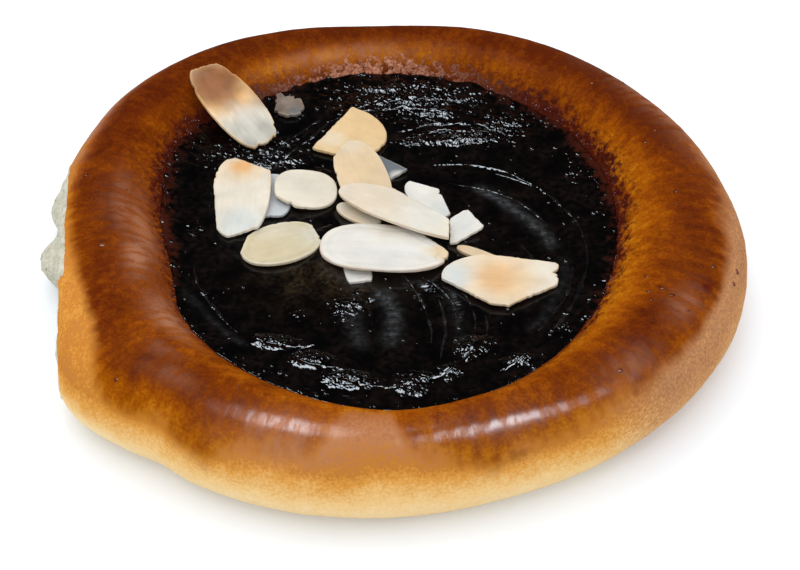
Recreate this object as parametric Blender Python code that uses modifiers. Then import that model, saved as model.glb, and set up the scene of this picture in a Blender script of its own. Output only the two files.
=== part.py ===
# A round open yeast cake: a raised crust ring with a torn left side, a pocket filled
# level with dark plum jam, and broken almond flakes scattered on the jam.
# Metres, +Z up, front at -Y. The origin is under the middle of the cake, on its flat base.

from math import atan2, cos, degrees, exp, hypot, pi, radians, sin

import bmesh
import bpy
from mathutils import Matrix, Vector

MM = 0.001

# Driving dimensions of the dough
BUN_RADIUS = 57.5 * MM          # widest, at BULGE_HEIGHT
BASE_RADIUS = 51.5 * MM         # flat bottom
CREST_RADIUS = 47.8 * MM        # top of the ring
CREST_HEIGHT = 18.0 * MM
BULGE_HEIGHT = 8.8 * MM
OUTER_SQUARENESS = 2.15         # 2 is an ellipse, more is boxier
POCKET_RADIUS = 33.5 * MM       # flat floor under the jam
POCKET_FLOOR = 6.2 * MM
FLOOR_RING = 20.0 * MM          # one ring of points inside the pocket's floor
BASE_RING = 30.0 * MM           # and one inside the base
RING_MIDDLE = (0.42 * MM, -0.64 * MM)   # places on the cake are measured from it

# Driving dimensions of the jam
JAM_RADIUS = 39.5 * MM
JAM_EDGE_HEIGHT = 13.0 * MM
JAM_CENTRE_HEIGHT = 11.5 * MM
RIDGE_HEIGHT = 0.35 * MM
RIDGE_SPACING = 5.6 * MM
RIDGE_CENTRE = (9.0 * MM, 1.0 * MM)
RIDGE_START = 20.0 * MM         # from that centre to where the ridges are full height
RIDGE_MARGIN = 5.0 * MM         # over which they die out towards the crust
RIDGE_LEFT = -22.0 * MM         # no ridges to the left of this
GAP = 0.3 * MM                  # kept between pieces that touch

# Torn side, where another cake had baked against this one
TEAR_BEARING = 184.0
TEAR_DISTANCE = 55.2 * MM
CRUMB_HEIGHT = 5.4 * MM
CRUMB_SPREAD = 3.8 * MM

# Each swell is (bearing in degrees, spread in degrees, amount in metres)
RIM_SWELLS = [
    (137, 28, 3.8 * MM),
    (213, 14, 3.0 * MM),
    (290, 38, -4.0 * MM),
    (92, 13, -1.9 * MM),
    (352, 24, 1.1 * MM),
]
POCKET_SWELLS = [
    (100, 50, 3.2 * MM),
    (147, 16, 2.4 * MM),
    (270, 22, 1.2 * MM),
    (345, 38, -3.4 * MM),
    (190, 16, -2.4 * MM),
]
HEIGHT_SWELLS = [
    (30, 45, 0.8 * MM),
    (205, 30, 0.5 * MM),
    (272, 32, 0.9 * MM),
]
# Each lump of torn crumb is (distance along the torn side, spread, amount)
CRUMB_LUMPS = [
    (5.5 * MM, 5.5 * MM, 4.4 * MM),
    (17.0 * MM, 4.5 * MM, 3.2 * MM),
    (-12.0 * MM, 9.0 * MM, 0.7 * MM),
]

# Facets
DOUGH_STEPS = 84
WALL_STEPS = 3                  # up the pocket's side
SLOPE_STEPS = 6                 # jam edge to crest
TOP_STEPS = 8                   # crest to bulge
LOW_STEPS = 6                   # bulge to base
JAM_STEPS = 72
JAM_RINGS = 16
FLAKE_SIDES = 20

FLAKE_THICKNESS = 1.0 * MM
MERGE_DISTANCE = 0.05 * MM

CRUST_BROWN = (0.28, 0.085, 0.018)
JAM_BLACK = (0.010, 0.006, 0.005)
ALMOND_CREAM = (0.80, 0.72, 0.56)
ALMOND_TOASTED = (0.72, 0.50, 0.26)

# Almond flakes. Sizes in millimetres and degrees: length and width of the whole flake, taper
# (above 0 narrows the + end), shift of the whole flake's middle from the piece's own, breaks as
# (direction, distance) of each straight snapped edge, at = middle, yaw of the length, pitch
# raising the + end, roll raising the left side, bow of the middle above the ends.
FLAKES = {
    "almond_on_rim": dict(
        length=20.4, width=9.8, taper=0.04, shift=0, breaks=[(180, 9.6), (108, 5.3)],
        at=(-28.3, 29.2, 16.9), yaw=130, pitch=17, roll=0, bow=0.3),
    "almond_sunk_chip": dict(
        length=7.0, width=5.4, taper=0, shift=0, breaks=[(175, 3.1), (50, 2.3)],
        at=(-19.0, 33.0, 13.8), yaw=127, pitch=0, roll=0, bow=0),
    "almond_half_back": dict(
        length=20.2, width=13.4, taper=0, shift=-5.0, breaks=[(180, 5.0), (90, 6.4), (-77, 5.6)],
        at=(-6.6, 24.6, 13.5), yaw=-31, pitch=0, roll=0, bow=0),
    "almond_upright_middle": dict(
        length=17.0, width=8.6, taper=0.08, shift=0, breaks=[(45, 5.8), (180, 6.0)],
        at=(-5.7, 13.7, 14.1), yaw=107, pitch=6, roll=0, bow=0.2),
    "almond_left_long": dict(
        length=21.2, width=10.0, taper=-0.12, shift=0, breaks=[(-29, 8.0), (15, 9.9)],
        at=(-25.9, 8.8, 13.8), yaw=89, pitch=0, roll=-5, bow=0.2),
    "almond_left_under": dict(
        length=11.0, width=6.4, taper=0, shift=0, breaks=[(180, 5.2)],
        at=(-20.7, 9.6, 12.9), yaw=93, pitch=0, roll=0, bow=0),
    "almond_left_oval": dict(
        length=10.6, width=9.6, taper=0, shift=0, breaks=[(55, 4.8)],
        at=(-15.1, 10.2, 13.9), yaw=180, pitch=6, roll=0, bow=0.1),
    "almond_left_low": dict(
        length=14.0, width=9.6, taper=0, shift=0, breaks=[(180, 6.4), (-37, 5.3)],
        at=(-18.8, -2.6, 13.0), yaw=203, pitch=0, roll=0, bow=0.2),
    "almond_top_long": dict(
        length=26.0, width=7.8, taper=0, shift=-2.0,
        breaks=[(205, 8.6), (257, 3.0), (8, 10.8)],
        at=(0.5, 3.8, 15.3), yaw=153, pitch=0, roll=0, bow=0.3),
    "almond_under_top": dict(
        length=8.6, width=3.8, taper=0, shift=0, breaks=[],
        at=(-6.1, 4.7, 13.1), yaw=146, pitch=0, roll=0, bow=0),
    "almond_grey_corner": dict(
        length=9.0, width=5.4, taper=0, shift=0, breaks=[(235, 2.3), (180, 3.2)],
        at=(-0.8, 17.0, 12.85), yaw=151, pitch=0, roll=0, bow=0),
    "almond_white_behind": dict(
        length=11.6, width=5.8, taper=0, shift=0, breaks=[(180, 5.0)],
        at=(5.9, 8.6, 13.0), yaw=129, pitch=0, roll=0, bow=0),
    "almond_chip_right": dict(
        length=8.6, width=6.0, taper=0, shift=0,
        breaks=[(0, 3.2), (145, 1.7), (-90, 2.6), (90, 2.6)],
        at=(10.8, 1.0, 13.6), yaw=34, pitch=8, roll=0, bow=0),
    "almond_sliver": dict(
        length=8.4, width=2.1, taper=0, shift=0, breaks=[],
        at=(13.9, -5.0, 12.8), yaw=151, pitch=0, roll=0, bow=0),
    "almond_big_white": dict(
        length=21.2, width=11.4, taper=-0.03, shift=0, breaks=[(232, 6.8)],
        at=(-1.8, -4.7, 13.8), yaw=173, pitch=0, roll=3, bow=0.3),
    "almond_chip_front": dict(
        length=7.2, width=4.4, taper=0, shift=0, breaks=[(180, 3.2)],
        at=(-6.2, -8.2, 12.7), yaw=101, pitch=0, roll=0, bow=0),
    "almond_right_long": dict(
        length=21.0, width=12.0, taper=0.14, shift=-0.5,
        breaks=[(60, 5.6), (128, 5.3), (180, 8.9)],
        at=(17.5, -12.1, 13.8), yaw=173, pitch=0, roll=-2, bow=0.2),
}
TOASTED = ("almond_on_rim", "almond_half_back", "almond_upright_middle")


def swell(bearing, swells):
    """Sum of the swells at a bearing in degrees."""
    total = 0.0
    for middle, spread, amount in swells:
        turn = (bearing - middle + 180) % 360 - 180
        total += amount * exp(-((turn / spread) ** 2))
    return total


def smooth_step(value):
    """0 below 0, 1 above 1, an easy curve between."""
    value = min(max(value, 0.0), 1.0)
    return value * value * (3 - 2 * value)


def plan_point(x, y, z):
    """Moves a point of the round cake to where the uneven cake has it."""
    radius = hypot(x, y)
    bearing = degrees(atan2(y, x)) % 360
    outward = smooth_step((radius - JAM_RADIUS) / (BUN_RADIUS - JAM_RADIUS))
    inward = (1 - outward) * min(1.0, radius / JAM_RADIUS)
    radius += outward * swell(bearing, RIM_SWELLS) + inward * swell(bearing, POCKET_SWELLS)
    crest = smooth_step((z - JAM_EDGE_HEIGHT) / (CREST_HEIGHT - JAM_EDGE_HEIGHT))
    z += crest * swell(bearing, HEIGHT_SWELLS)
    return radius, bearing, z


def torn(radius, bearing, z):
    """Cuts the left side flat and lets the torn crumb bulge out of it."""
    turn = radians((bearing - TEAR_BEARING + 180) % 360 - 180)
    if abs(turn) > pi / 3 or radius < CREST_RADIUS:
        return radius
    face = TEAR_DISTANCE / cos(turn)
    along = -radius * sin(turn)
    below = exp(-(((z - CRUMB_HEIGHT) / CRUMB_SPREAD) ** 2))
    lump = sum(a * exp(-(((along - m) / s) ** 2)) for m, s, a in CRUMB_LUMPS)
    wall = smooth_step((radius - BASE_RADIUS) / (TEAR_DISTANCE - BASE_RADIUS))
    return min(radius, face) + wall * below * lump


def shape_plan(mesh, tear):
    """Turns a round turned mesh into the uneven plan of the cake."""
    for vertex in mesh.vertices:
        radius, bearing, z = plan_point(*vertex.co)
        if tear:
            radius = torn(radius, bearing, z)
        angle = radians(bearing)
        vertex.co = (RING_MIDDLE[0] + radius * cos(angle), RING_MIDDLE[1] + radius * sin(angle), z)


def dough_profile():
    """Half section of the dough from the pocket's middle, over the crest, to the base's middle."""
    points = [(0.0, POCKET_FLOOR), (FLOOR_RING, POCKET_FLOOR), (POCKET_RADIUS, POCKET_FLOOR)]
    for i in range(1, WALL_STEPS):
        part = i / WALL_STEPS
        points.append((POCKET_RADIUS + (JAM_RADIUS - POCKET_RADIUS) * sin(part * pi / 2),
                       POCKET_FLOOR + (JAM_EDGE_HEIGHT - POCKET_FLOOR) * (1 - cos(part * pi / 2))))
    for i in range(SLOPE_STEPS):
        part = i / SLOPE_STEPS
        points.append((JAM_RADIUS + (CREST_RADIUS - JAM_RADIUS) * part,
                       JAM_EDGE_HEIGHT + (CREST_HEIGHT - JAM_EDGE_HEIGHT) * sin(part * pi / 2)))
    power = 2 / OUTER_SQUARENESS
    for i in range(TOP_STEPS):
        turn = pi / 2 * i / TOP_STEPS
        points.append((CREST_RADIUS + (BUN_RADIUS - CREST_RADIUS) * sin(turn) ** power,
                       BULGE_HEIGHT + (CREST_HEIGHT - BULGE_HEIGHT) * cos(turn) ** power))
    for i in range(LOW_STEPS + 1):
        turn = pi / 2 * i / LOW_STEPS
        points.append((BASE_RADIUS + (BUN_RADIUS - BASE_RADIUS) * cos(turn),
                       BULGE_HEIGHT * (1 - sin(turn))))
    points.append((BASE_RING, 0.0))
    points.append((0.0, 0.0))
    return points


def jam_profile():
    """Half section of the jam from the middle of its top, over its edge, to its bottom."""
    edge = JAM_RADIUS - 1.2 * GAP       # the pocket's side slopes there
    bottom = POCKET_FLOOR + GAP
    points = []
    for i in range(JAM_RINGS + 1):
        part = i / JAM_RINGS
        points.append((edge * part,
                       JAM_CENTRE_HEIGHT + (JAM_EDGE_HEIGHT - JAM_CENTRE_HEIGHT) * part ** 2))
    for i in range(WALL_STEPS - 1, -1, -1):
        part = i / WALL_STEPS
        points.append((POCKET_RADIUS - GAP + (edge - POCKET_RADIUS + GAP) * sin(part * pi / 2),
                       bottom + (JAM_EDGE_HEIGHT - bottom) * (1 - cos(part * pi / 2))))
    points.append((FLOOR_RING, bottom))
    points.append((0.0, bottom))
    return points


def add_ridges(mesh):
    """Raises the spoon's curved ridges on the top of the jam."""
    for vertex in mesh.vertices:
        radius = hypot(vertex.co.x, vertex.co.y)
        if vertex.co.z < JAM_CENTRE_HEIGHT - GAP or radius > JAM_RADIUS - 4 * GAP:
            continue
        away = hypot(vertex.co.x - RIDGE_CENTRE[0], vertex.co.y - RIDGE_CENTRE[1])
        fade = smooth_step((JAM_RADIUS - radius) / RIDGE_MARGIN)
        fade *= smooth_step(away / RIDGE_START)
        fade *= smooth_step((vertex.co.x - RIDGE_LEFT) / RIDGE_START)
        vertex.co.z += RIDGE_HEIGHT * fade * cos(2 * pi * away / RIDGE_SPACING)


def material(name, colour, roughness):
    """A plain Principled material of one colour."""
    made = bpy.data.materials.new(name)
    made.use_nodes = True
    shader = made.node_tree.nodes["Principled BSDF"]
    shader.inputs["Base Color"].default_value = (*colour, 1.0)
    shader.inputs["Roughness"].default_value = roughness
    shader.inputs["Metallic"].default_value = 0.0
    made.diffuse_color = (*colour, 1.0)
    return made


def add_object(name, mesh, collection, finish):
    """Puts a mesh in the collection as a named object with its own material."""
    made = bpy.data.objects.new(name, mesh)
    collection.objects.link(made)
    made.data.materials.append(finish)
    return made


def apply_modifiers(item):
    """Replaces an object's mesh by its evaluated one."""
    bpy.context.view_layer.update()
    evaluated = item.evaluated_get(bpy.context.evaluated_depsgraph_get())
    mesh = bpy.data.meshes.new_from_object(evaluated)
    item.modifiers.clear()
    item.data = mesh
    mesh.name = item.name


def turned(name, profile, steps, collection, finish):
    """Spins a half section round the vertical axis into a closed solid."""
    mesh = bpy.data.meshes.new(name)
    edges = [(i, i + 1) for i in range(len(profile) - 1)]
    mesh.from_pydata([(r, 0.0, z) for r, z in profile], edges, [])
    item = add_object(name, mesh, collection, finish)
    screw = item.modifiers.new("turn", "SCREW")
    screw.axis = "Z"
    screw.angle = 2 * pi
    screw.steps = steps
    screw.render_steps = steps
    screw.use_merge_vertices = True
    screw.merge_threshold = MERGE_DISTANCE
    apply_modifiers(item)
    return item


def flake_outline(flake):
    """Egg-shaped outline snapped along straight breaks, as points round the piece's middle."""
    points = []
    for i in range(FLAKE_SIDES):
        turn = 2 * pi * i / FLAKE_SIDES
        u = flake["shift"] + flake["length"] / 2 * cos(turn)
        v = flake["width"] / 2 * sin(turn) * (1 - flake["taper"] * cos(turn))
        for direction, distance in flake["breaks"]:
            reach = u * cos(radians(direction)) + v * sin(radians(direction))
            if reach > distance:
                u *= distance / reach
                v *= distance / reach
        points.append((u, v))
    return points


def add_flake(name, flake, collection, finish):
    """A thin bowed slice of almond, thickened both ways from its middle sheet."""
    sheet = bmesh.new()
    made = bmesh.ops.create_circle(sheet, cap_ends=True, cap_tris=True, segments=FLAKE_SIDES, radius=1.0)
    middle = min(made["verts"], key=lambda vertex: vertex.co.length)
    spokes = list(middle.link_edges)
    rim = sorted((vertex for vertex in made["verts"] if vertex is not middle),
                 key=lambda vertex: atan2(vertex.co.y, vertex.co.x) % (2 * pi))
    for vertex, (u, v) in zip(rim, flake_outline(flake)):
        vertex.co = (u * MM, v * MM, 0.0)
    bmesh.ops.subdivide_edges(sheet, edges=spokes, cuts=1)
    half = flake["length"] / 2 * MM
    for vertex in sheet.verts:
        vertex.co.z = flake["bow"] * MM * (1 - (vertex.co.x / half) ** 2)
    bmesh.ops.recalc_face_normals(sheet, faces=sheet.faces)
    mesh = bpy.data.meshes.new(name)
    sheet.to_mesh(mesh)
    sheet.free()
    item = add_object(name, mesh, collection, finish)
    thick = item.modifiers.new("thickness", "SOLIDIFY")
    thick.thickness = FLAKE_THICKNESS
    thick.offset = 0.0
    item.location = Vector(flake["at"]) * MM + Vector((*RING_MIDDLE, 0.0))
    item.rotation_euler = (
        Matrix.Rotation(radians(flake["yaw"]), 3, "Z")
        @ Matrix.Rotation(-radians(flake["pitch"]), 3, "Y")
        @ Matrix.Rotation(radians(flake["roll"]), 3, "X")
    ).to_euler()
    return item


def main():
    for old in list(bpy.data.objects):
        bpy.data.objects.remove(old, do_unlink=True)
    cake = bpy.data.collections.new("yeast_cake")
    bpy.context.scene.collection.children.link(cake)

    dough = turned("dough", dough_profile(), DOUGH_STEPS, cake, material("crust", CRUST_BROWN, 0.35))
    shape_plan(dough.data, tear=True)
    dough.data.shade_smooth()

    jam = turned("jam", jam_profile(), JAM_STEPS, cake, material("plum_jam", JAM_BLACK, 0.15))
    add_ridges(jam.data)
    shape_plan(jam.data, tear=False)
    jam.data.shade_smooth()

    for name, flake in FLAKES.items():
        colour = ALMOND_TOASTED if name in TOASTED else ALMOND_CREAM
        add_flake(name, flake, cake, material(name + "_skin", colour, 0.5))


main()
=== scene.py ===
# Looks of a round yeast cake: browned bread ring, dark plum jam and broken almond flakes.
# Sizes in the dictionaries are millimetres and degrees; mm turns them into metres.

from math import cos, pi, radians, sin

import bpy
import numpy as np
from mathutils import Matrix, Vector


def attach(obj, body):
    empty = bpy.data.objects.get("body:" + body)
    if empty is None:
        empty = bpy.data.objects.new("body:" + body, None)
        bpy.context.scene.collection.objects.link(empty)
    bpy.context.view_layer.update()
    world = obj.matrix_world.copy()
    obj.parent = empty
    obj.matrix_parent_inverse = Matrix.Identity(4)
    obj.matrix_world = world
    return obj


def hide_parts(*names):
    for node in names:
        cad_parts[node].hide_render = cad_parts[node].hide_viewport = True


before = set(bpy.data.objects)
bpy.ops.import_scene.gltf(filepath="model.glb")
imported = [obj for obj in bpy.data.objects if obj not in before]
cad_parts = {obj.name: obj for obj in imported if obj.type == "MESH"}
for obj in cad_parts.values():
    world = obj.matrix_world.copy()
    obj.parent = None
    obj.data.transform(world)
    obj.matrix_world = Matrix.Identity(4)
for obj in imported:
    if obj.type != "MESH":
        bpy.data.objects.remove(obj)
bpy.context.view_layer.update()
print("frame loaded with", len(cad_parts), "nodes")

mm = 0.001
ringMiddle = np.array([0.42, -0.64, 0.0])  # places on the cake are measured from it
noiseSide = 64  # cells of random numbers before they repeat
everywhere = 1e9  # a spread so wide that a bell stays 1


# Shared sums

def easeStep(value):  # 0 below 0, 1 above 1, an easy curve between
    value = np.clip(value, 0.0, 1.0)
    return value * value * (3 - 2 * value)


def stepOver(value, *steps):  # each step: where it starts, and the reach it rises over, or falls if below 0
    result = 1.0
    for start, reach in steps:
        result = result * easeStep((value - start) / reach)
    return result


def bell(value, spread):
    return np.exp(-((value / spread) ** 2))


def turnFrom(bearing, middle):  # signed degrees between two bearings
    return (bearing - middle + 180) % 360 - 180


def nearTo(bearing, middle, spread):
    return bell(turnFrom(bearing, middle), spread)


def swellSum(bearing, swells):  # each swell is bearing, spread, amount
    return sum(amount * nearTo(bearing, middle, spread) for middle, spread, amount in swells)


def spotGrids(bearing, across, spots):  # each spot is bearing, spread, across, spread, amount
    return [amount * nearTo(bearing, middle, spread) * bell(across - where, reach)
            for middle, spread, where, reach, amount in spots]


def slopeSum(bearing, across, slopes):  # like spots, but each rises over its reach and stays up
    return sum(amount * nearTo(bearing, middle, spread) * stepOver(across, (where, reach))
               for middle, spread, where, reach, amount in slopes)


def placesOf(x, y, z):
    return np.stack(np.broadcast_arrays(x, y, z), axis=-1)


def placesRound(radius, bearing, height):
    angle = np.radians(bearing)
    return placesOf(radius * np.cos(angle), radius * np.sin(angle), height)


def softNoise(places, size, seed):  # smooth random values of about -1 to 1
    lattice = np.random.default_rng(seed).uniform(-1, 1, (noiseSide, noiseSide, noiseSide))
    cell = places / size
    low = np.floor(cell).astype(int)
    part = easeStep(cell - low)
    total = 0.0
    for corner in np.ndindex(2, 2, 2):
        weight = np.prod(np.where(corner, part, 1 - part), axis=-1)
        spot = (low + corner) % noiseSide
        total = total + weight * lattice[spot[..., 0], spot[..., 1], spot[..., 2]]
    return total


def dents(sizes, places, seed, octaves=1):  # sizes: how wide and how high
    width, height = sizes
    return height * sum(softNoise(places, width / 2 ** step, seed + step) / 2 ** step
                        for step in range(octaves))


# Shared mesh building

def linkObject(name, data):
    item = bpy.data.objects.new(name, data)
    bpy.context.scene.collection.objects.link(item)
    return item


def meshFromRings(name, rings):  # closed: the first and last ring end on a middle point
    count, steps = rings.shape[:2]
    places = np.vstack([rings.reshape(-1, 3), rings[0].mean(axis=0), rings[-1].mean(axis=0)]) * mm
    index = np.arange(count * steps).reshape(count, steps)
    after = np.roll(index, -1, axis=1)
    quads = np.stack([index[:-1], index[1:], after[1:], after[:-1]], axis=-1).reshape(-1, 4)
    faces = quads.tolist()
    faces += [(count * steps, a, b) for a, b in zip(index[0].tolist(), after[0].tolist())]
    faces += [(count * steps + 1, b, a) for a, b in zip(index[-1].tolist(), after[-1].tolist())]
    mesh = bpy.data.meshes.new(name)
    mesh.from_pydata(places.tolist(), [], faces)
    mesh.shade_smooth()
    mesh.update()
    return mesh


def ringNormals(rings):  # outward directions on a grid of rings
    along = np.roll(rings, -1, axis=1) - np.roll(rings, 1, axis=1)
    normals = np.cross(np.gradient(rings, axis=0), along)
    return normals / np.maximum(np.linalg.norm(normals, axis=-1, keepdims=True), 1e-9)


def addLayer(mesh, name, values, kind="FLOAT", field="value"):
    middles = [values[0].mean(axis=0), values[-1].mean(axis=0)]  # for the two middle points
    flat = np.concatenate([values.reshape(-1, *values.shape[2:]), middles])
    layers = mesh.color_attributes if field == "color" else mesh.attributes
    layer = layers.new(name, kind, "POINT")
    layer.data.foreach_set(field, flat.astype(np.float32).reshape(-1))


def handOver(piece, node=None):
    if node:
        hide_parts(node)
    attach(piece, "root")


# Shared node building

class NodeBench:  # builds one node tree; a value is a number, a colour or another node's socket

    def __init__(self, tree):
        self.tree = tree

    def feed(self, socket, value):
        if isinstance(value, bpy.types.NodeSocket):
            self.tree.links.new(value, socket)
        elif socket.type == "RGBA":
            socket.default_value = (*value, 1.0)
        else:
            socket.default_value = value

    def add(self, kind, inputs=None, **settings):
        node = self.tree.nodes.new(kind)
        for name, value in settings.items():
            setattr(node, name, value)
        for name, value in (inputs or {}).items():
            self.feed(node.inputs[name], value)
        return node

    def math(self, operation, *values):
        return self.add("ShaderNodeMath", dict(enumerate(values)), operation=operation).outputs[0]

    def times(self, first, second):
        return self.math("MULTIPLY", first, second)

    def rest(self, value):
        return self.math("SUBTRACT", 1.0, value)

    def plus(self, *values):
        result = values[0]
        for value in values[1:]:
            result = self.math("ADD", result, value)
        return result

    def products(self, *pairs):
        return [self.times(first, second) for first, second in pairs]

    def swing(self, mask, amount):  # a 0 to 1 mask as a swing of that amount round 0
        return self.times(self.math("SUBTRACT", mask, 0.5), amount)

    def uneven(self, level, grains, **amounts):  # a level with swings of the named grains
        return self.plus(level, *(self.swing(grains[name], amount) for name, amount in amounts.items()))

    def blend(self, grains, name):  # the grains added up in the shares that crustShares gives them
        return self.plus(*(self.times(grains[grain], share) for grain, share in crustShares[name].items()))

    def mix(self, share, first, second, blend="MIX"):
        inputs = {"Factor": share, "A": first, "B": second}
        return self.add("ShaderNodeMix", inputs, data_type="RGBA", blend_type=blend).outputs["Result"]

    def span(self, value, low, high, start=0.0, end=1.0):
        inputs = {"Value": value, "From Min": low, "From Max": high, "To Min": start, "To Max": end}
        return self.add("ShaderNodeMapRange", inputs, interpolation_type="SMOOTHSTEP").outputs["Result"]

    def ramp(self, value, stops):  # each stop is position, colour
        node = self.add("ShaderNodeValToRGB", {"Fac": value})
        marks = node.color_ramp.elements
        while len(marks) < len(stops):
            marks.new(0.5)
        for mark, (position, colour) in zip(marks, stops):
            mark.position = position
            mark.color = (*colour, 1.0)
        return node.outputs["Color"]

    def read(self, name, output="Fac"):
        return self.add("ShaderNodeAttribute", attribute_name=name).outputs[output]

    def use(self, group, *values):  # values in the order of the group's inputs
        return self.add("ShaderNodeGroup", dict(enumerate(values)), node_tree=group).outputs[0]


def newGroup(name, output, **values):  # a Vector input, then one number for each name
    tree = bpy.data.node_groups.new(name, "ShaderNodeTree")
    tree.interface.new_socket(name="Vector", in_out="INPUT", socket_type="NodeSocketVector")
    for socketName, value in values.items():
        socket = tree.interface.new_socket(name=socketName, in_out="INPUT", socket_type="NodeSocketFloat")
        socket.default_value = value
    tree.interface.new_socket(name=output, in_out="OUTPUT", socket_type="NodeSocketFloat")
    return NodeBench(tree), tree.nodes.new("NodeGroupInput").outputs


def noiseIn(nodes, given):
    inputs = {name: given[name] for name in ("Vector", "Scale", "Detail")}
    return nodes.add("ShaderNodeTexNoise", inputs).outputs["Fac"]


def makeCloudGroup():  # soft uneven patches, 0 to 1
    nodes, given = newGroup("cloud patches", "Mask", Scale=100.0, Detail=3.0, Low=0.35, High=0.65)
    nodes.add("NodeGroupOutput", {0: nodes.span(noiseIn(nodes, given), given["Low"], given["High"])})
    return nodes.tree


def makeSpeckGroup():  # round specks: 1 in the middle of each, 0 between
    nodes, given = newGroup("round specks", "Mask", Scale=800.0, Radius=0.3, Softness=0.15)
    cells = nodes.add("ShaderNodeTexVoronoi", {name: given[name] for name in ("Vector", "Scale")})
    inner = nodes.math("SUBTRACT", given["Radius"], given["Softness"])
    nodes.add("NodeGroupOutput", {0: nodes.span(cells.outputs["Distance"], given["Radius"], inner)})
    return nodes.tree


def makeWrinkleGroup():  # thin crossing folds, 1 on each fold
    nodes, given = newGroup("skin wrinkles", "Fold", Scale=300.0, Detail=2.0, Width=0.2)
    away = nodes.math("ABSOLUTE", nodes.math("SUBTRACT", noiseIn(nodes, given), 0.5))
    nodes.add("NodeGroupOutput", {0: nodes.span(away, given["Width"], 0.0)})
    return nodes.tree


cloudGroup = makeCloudGroup()
speckGroup = makeSpeckGroup()
wrinkleGroup = makeWrinkleGroup()


def newMaterial(name, **fixed):  # fixed values go on the shader's own sockets
    material = bpy.data.materials.new(name)
    material.use_nodes = True
    nodes = NodeBench(material.node_tree)
    shader = nodes.tree.nodes["Principled BSDF"].inputs
    for socketName, value in fixed.items():
        shader[socketName.replace("_", " ")].default_value = value
    return material, nodes, shader, nodes.add("ShaderNodeTexCoord").outputs["Object"]


def dress(nodes, shader, colour, rough, relief, depth, strength=1.0):  # depth of the relief in mm
    bump = nodes.add("ShaderNodeBump", {"Strength": strength, "Distance": depth * mm, "Height": relief})
    nodes.feed(shader["Base Color"], colour)
    nodes.feed(shader["Roughness"], rough)
    nodes.feed(shader["Normal"], bump.outputs["Normal"])


# The dough: sizes as the frame has them, then the finer surface

doughSizes = {
    "bunRadius": 57.5, "baseRadius": 51.5, "crestRadius": 47.8, "crestHeight": 18.0,
    "bulgeHeight": 8.8, "squareness": 2.15, "pocketRadius": 33.5, "pocketFloor": 6.2,
    "jamRadius": 39.5, "jamEdgeHeight": 13.0, "steps": 720,
    "rimSwells": [(137, 28, 3.8), (213, 14, 3.0), (290, 38, -4.0), (92, 13, -1.9), (352, 24, 1.1),
                  (211, 8, 1.1), (229, 3.5, -0.6), (240, 8, 0.4)],  # these three only show in the outline
    "pocketSwells": [(100, 50, 3.2), (147, 16, 2.4), (270, 22, 1.2), (345, 38, -3.4), (190, 16, -2.4)],
    "heightSwells": [(30, 45, 0.8), (205, 30, 0.5), (272, 32, 0.9)],
    "tearBearing": 184.0, "tearReach": 60.0, "tearDistance": 55.2, "crumbHeight": 5.4, "crumbSpread": 3.8,
    "crumbLumps": [(5.8, 5.2, 4.2), (17.6, 5.0, 2.9), (-12.0, 9.0, 0.7)],  # along, spread, amount
}

tearSteps = {  # where the torn face starts and ends: along it, past its lip, by cut, height and bulge
    "along": ((-10.0, 1.5), (26.5, -1.5)), "lip": (-1.3, 0.5), "cut": (0.0, 0.6),
    "height": (17.0, -1.0), "bulge": (0.0, 0.8),
}

doughStretches = [  # rings, and how radius and height run to the next corner of the section
    (6, "even", "even"), (8, "sine", "turn"), (26, "even", "sine"), (40, "squareSine", "squareTurn"),
    (28, "turn", "sine"), (8, "even", "even")]

doughRelief = {  # size and height of soft dents
    "broad": (14.0, 0.28), "medium": (5.5, 0.045), "skin": (1.6, 0.010), "wrinkle": (2.4, 0.06),
    "baseWave": (9.0, 0.9), "crumbLump": (3.8, 0.42), "crumbPore": (1.3, 0.42),
    "streak": (1.5, 5.0, 0.034), "acrossReach": 12.0,  # streak: width, length, height
    "wrinkleTall": np.array([1, 1, 1.6]), "poreFrom": 0.25,
    "shown": ((-0.05, 0.25), (3.0, -0.25)), "waveShown": ((2.3, 0.7), (3.25, -0.25)),  # steps of across
}

matteSide = {"turn": (56.0, -18.0), "across": (1.10, 0.20)}  # wrinkled, without egg wash


def planPoints(radius, bearing, height):  # the round section becomes the uneven cake
    sizes = doughSizes
    outward = easeStep((radius - sizes["jamRadius"]) / (sizes["bunRadius"] - sizes["jamRadius"]))
    inward = (1 - outward) * np.minimum(1.0, radius / sizes["jamRadius"])
    radius = radius + outward * swellSum(bearing, sizes["rimSwells"])
    radius = radius + inward * swellSum(bearing, sizes["pocketSwells"])
    crest = easeStep((height - sizes["jamEdgeHeight"]) / (sizes["crestHeight"] - sizes["jamEdgeHeight"]))
    return radius, height + crest * swellSum(bearing, sizes["heightSwells"])


def tearSide(radius, bearing, height):  # flat torn side with crumb that bulges out of it
    sizes = doughSizes
    turn = np.radians(turnFrom(bearing, sizes["tearBearing"]))
    near = (np.abs(turn) < radians(sizes["tearReach"])) & (radius >= sizes["crestRadius"])
    face = sizes["tearDistance"] / np.cos(np.where(near, turn, 0.0))
    along = -radius * np.sin(turn)
    lump = sum(amount * bell(along - middle, spread) for middle, spread, amount in sizes["crumbLumps"])
    below = bell(height - sizes["crumbHeight"], sizes["crumbSpread"])
    wall = easeStep((radius - sizes["baseRadius"]) / (sizes["tearDistance"] - sizes["baseRadius"]))
    cut = np.where(near, np.maximum(radius - face, 0.0), 0.0)
    bulge = np.where(near, wall * below * lump, 0.0)
    torn = stepOver(radius - face, tearSteps["lip"]) * stepOver(along, *tearSteps["along"])
    torn = np.maximum(np.where(near, torn, 0.0), stepOver(cut, tearSteps["cut"]))
    crumb = np.maximum(torn * stepOver(height, tearSteps["height"]), stepOver(bulge, tearSteps["bulge"]))
    return radius - cut + bulge, crumb


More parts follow.
